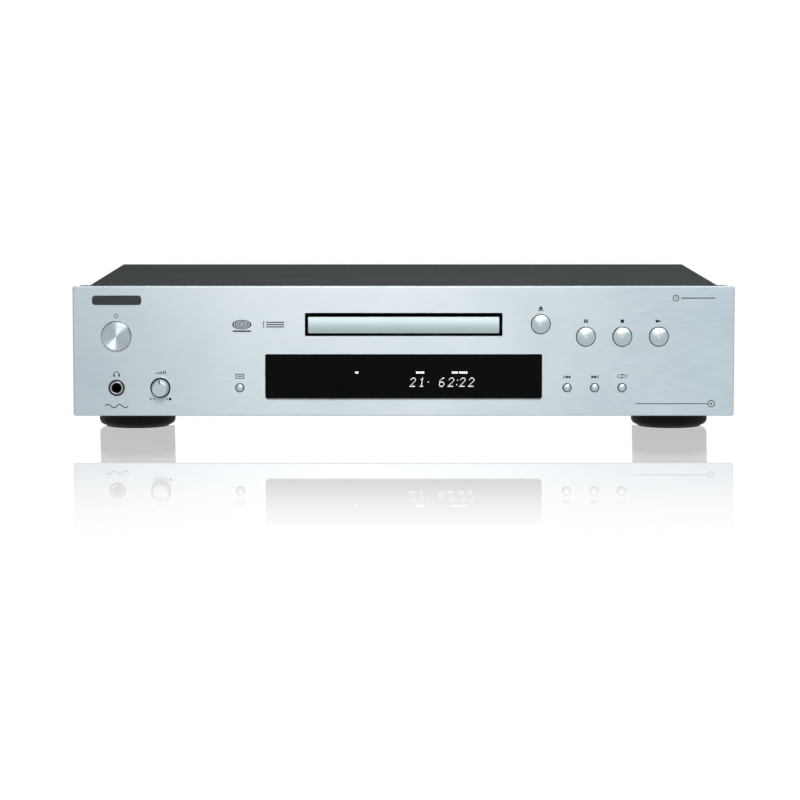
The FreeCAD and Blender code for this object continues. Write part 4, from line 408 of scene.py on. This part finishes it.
class Flat:
    """Thin plates on a vertical face, drawn in mm as (x, z); way is -1 on a front, 1 on a back."""

    def __init__(self, name, face_y, way=-1):
        self.name = name
        self.back = face_y
        self.front = face_y + way * PLATE_T * MM
        self.mesh = bmesh.new()

    def plate(self, outline):
        """Solid plate from a convex outline, anticlockwise seen from the front."""
        front = [self.mesh.verts.new((x * MM, self.front, z * MM)) for x, z in outline]
        back = [self.mesh.verts.new((x * MM, self.back, z * MM)) for x, z in outline]
        self.mesh.faces.new(front)
        self.mesh.faces.new(back[::-1])
        for i in range(len(outline)):
            j = (i + 1) % len(outline)
            self.mesh.faces.new((front[j], front[i], back[i], back[j]))

    def bar(self, start, end, width):
        """Straight stroke with its ends cut square."""
        run = Vector((end[0] - start[0], end[1] - start[1])).normalized() * (width / 2)
        side = Vector((-run.y, run.x))
        corners = [(start[0] - side.x, start[1] - side.y), (end[0] - side.x, end[1] - side.y),
                   (end[0] + side.x, end[1] + side.y), (start[0] + side.x, start[1] + side.y)]
        self.plate(corners)

    def arc(self, centre, radius, width, start, end, steps=28, flat=1.0):
        """Curved stroke from one angle to another, in degrees; flat squashes it in Z."""
        for i in range(steps):
            a = math.radians(start + (end - start) * i / steps)
            b = math.radians(start + (end - start) * (i + 1) / steps)
            quad = []
            for angle, r in ((a, radius - width / 2), (a, radius + width / 2),
                             (b, radius + width / 2), (b, radius - width / 2)):
                quad.append((centre[0] + r * math.cos(angle),
                             centre[1] + r * math.sin(angle) * flat))
            self.plate(quad)

    def disc(self, centre, radius, steps=20):
        """Round dot."""
        turns = [2 * math.pi * i / steps for i in range(steps)]
        self.plate([(centre[0] + radius * math.cos(a), centre[1] + radius * math.sin(a))
                    for a in turns])

    def arrow(self, centre, width, height, right=True):
        """Solid triangle that points right or left."""
        x, z = centre
        way = width / 2 if right else -width / 2
        corners = [(x - way, z - height / 2), (x + way, z), (x - way, z + height / 2)]
        self.plate(corners if right else corners[::-1])

    def finish(self, material, body):
        """Object made of all the plates, riding on a body."""
        bmesh.ops.recalc_face_normals(self.mesh, faces=self.mesh.faces)
        data = bpy.data.meshes.new(self.name)
        self.mesh.to_mesh(data)
        self.mesh.free()
        data.materials.append(material)
        piece = bpy.data.objects.new(self.name, data)
        bpy.context.scene.collection.objects.link(piece)
        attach(piece, body)
        return piece


def power_mark(marks, at):
    """Ring with a gap at the top and an upright stroke."""
    radius, stroke = 1.25, 0.36
    marks.arc(at, radius, stroke, 125, 415)
    marks.bar((at[0], at[1] + 0.2), (at[0], at[1] + radius + 0.5), stroke)


def headphone_mark(marks, at):
    """Headband with two ear cups."""
    cup_x, cup_w = 1.7, 1.0
    marks.arc(at, 1.75, 0.4, 0, 180)
    for side in (-1, 1):
        x = at[0] + side * cup_x
        marks.bar((x, at[1] - 1.5), (x, at[1] + 0.2), cup_w)


def wedge_mark(marks, at):
    """Rising row of bars for the headphone level."""
    bars, step_x, step_z, bar_w = 7, 1.1, 0.32, 0.6
    for step in range(bars):
        x = at[0] + (step - bars // 2) * step_x
        marks.bar((x, at[1] - 1.0), (x, at[1] - 0.6 + step * step_z), bar_w)


def end_marks(marks, knob):
    """Small and large dots at the ends of the knob's travel, each with a short tick."""
    x, z = over(knob, -7.4)
    dot_x, tick_w = 6.4, 0.45
    for side, dot in ((-1, 0.55), (1, 0.95)):
        marks.disc((x + side * dot_x, z), dot)
        marks.bar((x + side * 3.6, z), (x + side * 5.0, z), tick_w)


def disc_mark(marks, at):
    """Flat ellipse of a disc with its tracks and hole, over a short line."""
    tracks = ((5.8, 1.0), (4.2, 0.9), (2.9, 0.5), (1.6, 0.9))   # radius and width of each
    line_x, line_z = 6.0, at[1] - 4.3
    for radius, width in tracks:
        marks.arc(at, radius, width, 0, 360, steps=48, flat=0.5)
    marks.bar((at[0] - line_x, line_z), (at[0] + line_x, line_z), 1.0)


def screen_mark(marks, at):
    """Small outlined screen with a line in it."""
    x, z = at
    half_w, half_h = 2.8, 1.3
    upright_x = half_w - FINE / 2
    for level in (-half_h, half_h):
        marks.bar((x - half_w, z + level), (x + half_w, z + level), FINE)
    for side in (-upright_x, upright_x):
        marks.bar((x + side, z - half_h), (x + side, z + half_h), FINE)
    marks.bar((x - 1.5, z), (x + 1.5, z), 0.6)


def repeat_mark(marks, at):
    """Loop with an arrow head on each side."""
    x, z = at
    reach, radius, stroke = 2.1, 0.95, 0.34
    for side, turn in ((1, -90), (-1, 90)):
        level = z + side * radius
        marks.arc((x + side * reach, z), radius, stroke, turn, turn + 180)
        marks.bar((x - reach, level), (x + reach, level), stroke)
        marks.arrow((x + side * 0.4, level), 1.3, 1.5, right=side > 0)


def transport_marks(marks):
    """Signs over the buttons for eject, pause, stop, play and the two skips."""
    rise = 10.2
    x, z = over("eject_button", rise + 0.1)
    marks.plate([(x - 1.6, z - 0.3), (x + 1.6, z - 0.3), (x, z + 1.8)])
    marks.bar((x - 1.6, z - 1.0), (x + 1.6, z - 1.0), 0.8)
    x, z = over("pause_button", rise)
    for side in (-0.72, 0.72):
        marks.bar((x + side, z - 1.15), (x + side, z + 1.15), 1.05)
    x, z = over("stop_button", rise)
    marks.bar((x - 1.1, z), (x + 1.1, z), 2.2)
    marks.arrow(over("play_button", rise), 4.2, 2.2)
    for node, right in (("previous_button", False), ("next_button", True)):
        x, z = over(node, 7.1)
        way = 1 if right else -1
        for step in (-1.1, 0.8):
            marks.arrow((x + step * way, z), 2.3, 2.1, right=right)
        marks.bar((x + way * 2.2, z - 1.05), (x + way * 2.2, z + 1.05), 0.55)


def wave_mark(marks, at, width):
    """Smooth wave of two periods."""
    x, z = at
    steps, swing, stroke = 24, 1.1, 0.6

    def height(step):
        return swing * math.sin(4 * math.pi * step / steps)

    for step in range(steps):
        left = x - width / 2 + width * step / steps
        marks.bar((left, z + height(step)), (left + width / steps, z + height(step + 1)), stroke)


def list_mark(marks, at):
    """Three stacked lines with a dot before each, like a list of tracks."""
    x, z = at
    for rise in (-1.5, 0.0, 1.5):
        marks.disc((x - 6.5, z + rise), 0.5)
        marks.bar((x - 4.8, z + rise), (x + 7.0, z + rise), 0.7)


def clock_mark(marks, at):
    """Small clock face with two hands, then a fine rule."""
    x, z = at
    hand_w = 0.4
    marks.arc(at, 1.9, FINE, 0, 360)
    marks.bar(at, (x, z + 1.3), hand_w)
    marks.bar(at, (x + 0.9, z), hand_w)
    marks.bar((x + 3.6, z), (x + 26.0, z), 0.6)


def rule_mark(marks, at, width):
    """Long fine rule that ends in a ring."""
    x, z = at
    ring_r = 2.1
    marks.bar((x - width, z), (x - 2 * ring_r, z), FINE)
    marks.arc((x - ring_r, z), ring_r, FINE, 0, 360)
    marks.disc((x - ring_r, z), 0.6)


def panel_marks():
    """Every sign printed on the front panel."""
    marks = Flat("panel_marks", FACE_Y)
    power_mark(marks, over("power_button", 13.4))
    headphone_mark(marks, over("socket_ring", 8.9))
    wedge_mark(marks, over("level_knob", 10.2))
    end_marks(marks, "level_knob")
    door_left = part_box("tray_door")[0].x / MM
    door_level = over("tray_door", 0.4)[1]
    disc_mark(marks, (door_left - 43.6, door_level))
    list_mark(marks, (door_left - 22.8, door_level))
    wave_mark(marks, over("socket_ring", -12.0), 15.0)
    marks_end = PANEL_HIGH.x / MM - 12.7
    clock_mark(marks, (marks_end - 26.0, PANEL_HIGH.z / MM - 7.7))
    rule_mark(marks, (marks_end, PANEL_LOW.z / MM + 8.0), 52.0)
    screen_mark(marks, over("display_button", 7.6))
    repeat_mark(marks, over("repeat_button", 7.6))
    transport_marks(marks)
    dark_plate_finish = surface("ink_finish", dark=(0.006, 0.007, 0.010), light=(0.016, 0.018, 0.022),
                  roughness=(0.5, 0.65), grain=5000.0, depth=0.004, specular=0.15)
    marks.finish(dark_plate_finish, "root")


# ---- Lit display ------------------------------------------------------------------------

DIGITS = {               # five columns of dots by seven rows, top row first
    "1": ("..#..", ".##..", "..#..", "..#..", "..#..", "..#..", ".###."),
    "2": (".###.", "#...#", "....#", "...#.", "..#..", ".#...", "#####"),
    "6": ("..##.", ".#...", "#....", "####.", "#...#", "#...#", ".###."),
}
DOT_STEP = (0.74, 0.90)  # mm between dots across and up
DOT_SIZE = (0.50, 0.62)
DIGIT_SLANT = 0.16       # sideways lean for each mm up


def lit_dot(marks, x, z):
    """One leaning rectangular dot of the display."""
    half_w, half_h = DOT_SIZE[0] / 2, DOT_SIZE[1] / 2
    lean = half_h * DIGIT_SLANT
    marks.plate([(x - half_w - lean, z - half_h), (x + half_w - lean, z - half_h),
                 (x + half_w + lean, z + half_h), (x - half_w + lean, z + half_h)])


def digit(marks, value, left, bottom):
    """Leaning numeral made of dots."""
    for row, line in enumerate(reversed(DIGITS[value])):
        rise = row * DOT_STEP[1]
        for column, dot in enumerate(line):
            if dot == "#":
                across = column * DOT_STEP[0] + rise * DIGIT_SLANT
                lit_dot(marks, left + DOT_SIZE[0] / 2 + across, bottom + DOT_SIZE[1] / 2 + rise)


def lit_display():
    """Track number, playing time and small indicators on the window's face."""
    face = WINDOW_LOW.y
    base = WINDOW_LOW.z / MM + 7.4
    digits = (("2", 3.9), ("1", 9.9), ("6", 23.1), ("2", 29.1), ("2", 36.6), ("2", 42.4))
    dots = ((16.2, 3.2), (35.0, 1.4), (35.5, 4.4))
    lit = Flat("lit_digits", face)
    for value, left in digits:
        digit(lit, value, left, base)
    for x, rise in dots:
        lit_dot(lit, x, base + rise)
    glow = lamp_material("digit_glow", (0.75, 0.86, 0.90), (0.96, 1.0, 1.0), 0.85)
    lit.finish(glow, "root")

    blocks = ((8.2, 4), (31.8, 3), (36.6, 4))    # left end of each word and its count of blocks
    block_step, block_w, block_h = 1.4, 1.1, 1.3
    level = base + 9.4
    small = Flat("lit_marks", face)
    for left, count in blocks:
        for step in range(count):
            x = left + step * block_step
            small.bar((x, level), (x + block_w, level), block_h)
    small.bar((-31.9, level), (-29.9, level), 1.2)
    dim = lamp_material("mark_glow", (0.62, 0.70, 0.74), (0.88, 0.94, 0.97), 1.0)
    small.finish(dim, "root")


# ---- Marks on the rear panel, and painted shade in the knob's groove ----------------------

AUDIO_GROUP = ((114.5, 34.0), (138.5, 72.0))     # corners of the lines round the sockets, in mm
DIGITAL_GROUP = ((156.0, 34.0), (180.0, 72.0))
LINK_GROUP = ((93.0, 45.0), (109.0, 61.0))


def frame_line(marks, low, high):
    """Rectangular fine line between two (x, z) corners."""
    corners = [low, (high[0], low[1]), high, (low[0], high[1])]
    for start, end in zip(corners, corners[1:] + corners[:1]):
        reach = Vector((end[0] - start[0], end[1] - start[1])).normalized() * (FINE / 2)
        marks.bar((start[0] - reach.x, start[1] - reach.y),
                  (end[0] + reach.x, end[1] + reach.y), FINE)


def output_mark(marks, at):
    """Ring with an arrow that leaves it."""
    x, z = at
    marks.arc((x - 2.6, z), 1.9, FINE, 0, 360)
    marks.bar((x + 0.8, z), (x + 4.6, z), FINE)
    marks.arrow((x + 5.0, z), 2.2, 2.4)


def rear_marks():
    """Pale lines on the rear panel round each group of sockets, with generic signs."""
    marks = Flat("rear_marks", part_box("rear_panel")[1].y, way=1)
    for low, high in (AUDIO_GROUP, DIGITAL_GROUP):
        frame_line(marks, low, high)
    for low, high in (AUDIO_GROUP, DIGITAL_GROUP):
        output_mark(marks, ((low[0] + high[0]) / 2, high[1] + 5.0))
    frame_line(marks, *LINK_GROUP)
    wave_mark(marks, over("mains_inlet", 17.0), 9.0)
    pale = surface("rear_ink", dark=(0.42, 0.43, 0.43), light=(0.52, 0.53, 0.53),
                   roughness=(0.5, 0.65), grain=3000.0, depth=0.004, specular=0.2)
    marks.finish(pale, "root")


def surface_y(node, x, z):
    """Y of the front surface of a CAD piece at a place given in mm."""
    start = Vector((x * MM, FACE_Y - 0.1, z * MM))
    hit = NODES[node].ray_cast(start, Vector((0, 1, 0)))
    return hit[1].y


def knob_groove_shade():
    """Dark plate along the pointer groove that shows the level knob's setting: painted shade
    standing in for the groove's shadow.
    """
    low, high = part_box("level_knob")
    x, z = over("level_knob", 0)
    radius = (high.z - low.z) / MM / 2
    start, end, width = radius * 0.60, radius * 0.88, 1.1
    front = min(surface_y("level_knob", x, z + reach) for reach in (start, end))
    line = Flat("knob_groove_shade", max(front, low.y + PLATE_T * MM))
    line.bar((x, z + start), (x, z + end), width)
    # Painted shade: a dark plate where the pointer groove's shadow falls.
    dark_plate_finish = surface("pointer_groove_shade", dark=(0.008, 0.010, 0.012), light=(0.02, 0.024, 0.028),
                  roughness=(0.4, 0.55), grain=5000.0, depth=0.004, specular=0.15)
    line.finish(dark_plate_finish, "level_knob")


panel_marks()
lit_display()
knob_groove_shade()
rear_marks()


# ---- Floor, light and camera ------------------------------------------------------------

WHITE = (1.0, 1.0, 1.0, 1.0)
FLOOR_REACH = 30.0
FLOOR_GLOW = 0.62                  # light that the floor gives
MIRROR_FADE = (0.50, 0.08)         # in front of the panel, where the mirror ends and is full
MIRROR_STRENGTH = 0.85
FLOOR_IOR = 1.45
FOOT_RADIUS = 0.0257

BACKDROP_STRENGTH = 1.05
STUDIO_TINT = (0.82, 0.91, 1.0, 1.0)
STUDIO_FAR_SIDE = (0.35, 0.94, 0.0)
STUDIO_TURN = (-0.3, 0.8)          # from where to where the studio darkens towards its far side
STUDIO_STRENGTH = (0.50, 0.04)


def seen_or_lit(nodes, links, seen, lit):
    """Strength for what is seen, straight or in a mirror, and another for the light it gives."""
    path = nodes.new("ShaderNodeLightPath")
    either = math_node(nodes, links, "MAXIMUM", path.outputs["Is Camera Ray"],
                       path.outputs["Is Singular Ray"])
    return map_range(nodes, links, either, (0.0, 1.0), (lit, seen))


def polished_part(nodes, links, place):
    """1 where the floor mirrors the panel or a front foot to the camera, and 0 elsewhere."""
    eye_y = FACE_Y - CAMERA_DISTANCE
    under = CAMERA_HEIGHT / (CAMERA_HEIGHT + PANEL_LOW.z)
    shows_panel = math_node(nodes, links, "LESS_THAN", place.outputs["Y"],
                            eye_y + (FACE_Y - eye_y) * under)
    feet_low, feet_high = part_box("feet")
    foot_x, foot_y = feet_high.x - FOOT_RADIUS, feet_low.y + FOOT_RADIUS
    depth = math_node(nodes, links, "SUBTRACT", place.outputs["Y"], eye_y)
    across = math_node(nodes, links, "DIVIDE", place.outputs["X"], depth)
    across = math_node(nodes, links, "ABSOLUTE", across, 0.0)
    away = math_node(nodes, links, "SUBTRACT", across, foot_x / (foot_y - eye_y))
    away = math_node(nodes, links, "ABSOLUTE", away, 0.0)
    shows_foot = math_node(nodes, links, "LESS_THAN", away, FOOT_RADIUS / (foot_y - eye_y))
    ahead = math_node(nodes, links, "LESS_THAN", place.outputs["Y"], foot_y)
    shows_foot = math_node(nodes, links, "MULTIPLY", shows_foot, ahead)
    return math_node(nodes, links, "MAXIMUM", shows_panel, shows_foot)


def add_floor():
    """Pale sweep that glows like a lit table and mirrors the player faintly in front of it."""
    reach = FLOOR_REACH
    corners = [(-reach, -reach, 0), (reach, -reach, 0), (reach, reach, 0), (-reach, reach, 0)]
    data = bpy.data.meshes.new("floor")
    data.from_pydata(corners, [], [(0, 1, 2, 3)])
    floor = bpy.data.objects.new("floor", data)
    bpy.context.scene.collection.objects.link(floor)

    material = bpy.data.materials.new("floor_white")
    material.use_nodes = True
    nodes, links = material.node_tree.nodes, material.node_tree.links
    nodes.clear()
    output = nodes.new("ShaderNodeOutputMaterial")
    pale = nodes.new("ShaderNodeEmission")
    links.new(seen_or_lit(nodes, links, 1.0, FLOOR_GLOW), pale.inputs["Strength"])
    mirror = nodes.new("ShaderNodeBsdfGlossy")
    mirror.inputs["Color"].default_value = WHITE
    mirror.inputs["Roughness"].default_value = 0.0
    coordinates = nodes.new("ShaderNodeTexCoord")
    split = nodes.new("ShaderNodeSeparateXYZ")
    links.new(coordinates.outputs["Object"], split.inputs["Vector"])
    far, near = MIRROR_FADE
    fade = map_range(nodes, links, split.outputs["Y"], (FACE_Y - far, FACE_Y - near),
                     (0.0, MIRROR_STRENGTH), "SMOOTHSTEP")
    path = nodes.new("ShaderNodeLightPath")
    glancing = nodes.new("ShaderNodeFresnel")
    glancing.inputs["IOR"].default_value = FLOOR_IOR
    shown = math_node(nodes, links, "MULTIPLY", fade, path.outputs["Is Camera Ray"])
    shown = math_node(nodes, links, "MULTIPLY", shown, polished_part(nodes, links, split))
    shown = math_node(nodes, links, "MULTIPLY", shown, glancing.outputs["Fac"])
    mix = nodes.new("ShaderNodeMixShader")
    links.new(shown, mix.inputs["Fac"])
    links.new(pale.outputs["Emission"], mix.inputs[1])
    links.new(mirror.outputs["BSDF"], mix.inputs[2])
    links.new(mix.outputs["Shader"], output.inputs["Surface"])
    data.materials.append(material)


def add_world():
    """White backdrop to the eye; a softer, darker studio for the light that falls on the player."""
    world = bpy.data.worlds.new("studio")
    bpy.context.scene.world = world
    world.use_nodes = True
    nodes, links = world.node_tree.nodes, world.node_tree.links
    nodes.clear()
    output = nodes.new("ShaderNodeOutputWorld")
    backdrop = nodes.new("ShaderNodeBackground")
    backdrop.inputs["Color"].default_value = WHITE
    backdrop.inputs["Strength"].default_value = BACKDROP_STRENGTH
    studio = nodes.new("ShaderNodeBackground")
    studio.inputs["Color"].default_value = STUDIO_TINT
    direction = nodes.new("ShaderNodeTexCoord")
    away = nodes.new("ShaderNodeVectorMath")
    away.operation = "DOT_PRODUCT"
    away.inputs[1].default_value = STUDIO_FAR_SIDE
    links.new(direction.outputs["Generated"], away.inputs[0])
    strength = map_range(nodes, links, away.outputs["Value"], STUDIO_TURN, STUDIO_STRENGTH)
    links.new(strength, studio.inputs["Strength"])
    mix = nodes.new("ShaderNodeMixShader")
    links.new(seen_or_lit(nodes, links, 1.0, 0.0), mix.inputs["Fac"])
    links.new(studio.outputs["Background"], mix.inputs[1])
    links.new(backdrop.outputs["Background"], mix.inputs[2])
    links.new(mix.outputs["Shader"], output.inputs["Surface"])


def add_softbox(name, place, target, size, power, colour=(1.0, 1.0, 1.0)):
    """Rectangular soft light of a size in metres and a power in watts, aimed at a target."""
    light = bpy.data.lights.new(name, "AREA")
    light.shape = "RECTANGLE"
    light.size, light.size_y = size
    light.energy = power
    light.color = colour
    lamp = bpy.data.objects.new(name, light)
    lamp.location = place
    lamp.rotation_euler = (Vector(target) - Vector(place)).to_track_quat("-Z", "Y").to_euler()
    bpy.context.scene.collection.objects.link(lamp)


def add_lights():
    """A warm key over the camera, one at the right, a broad one overhead and one behind."""
    warm = (1.0, 0.84, 0.77)
    panel = (0, FACE_Y, PANEL_HIGH.z / 2)
    heart = (0, 0, PANEL_HIGH.z / 2)
    add_softbox("key", (-0.04, -2.0, 1.0), panel, (0.4, 0.8), 10.0, warm)
    add_softbox("side", (0.95, -1.7, 1.5), panel, (0.35, 0.35), 13.5)
    add_softbox("overhead", (0.0, 0.2, 1.8), heart, (1.6, 1.0), 10.0)
    add_softbox("behind", (0.12, 2.0, 1.3), heart, (1.2, 0.8), 9.0)


add_floor()
add_world()
add_lights()
add_camera()
bpy.context.scene.view_settings.view_transform = "Standard"
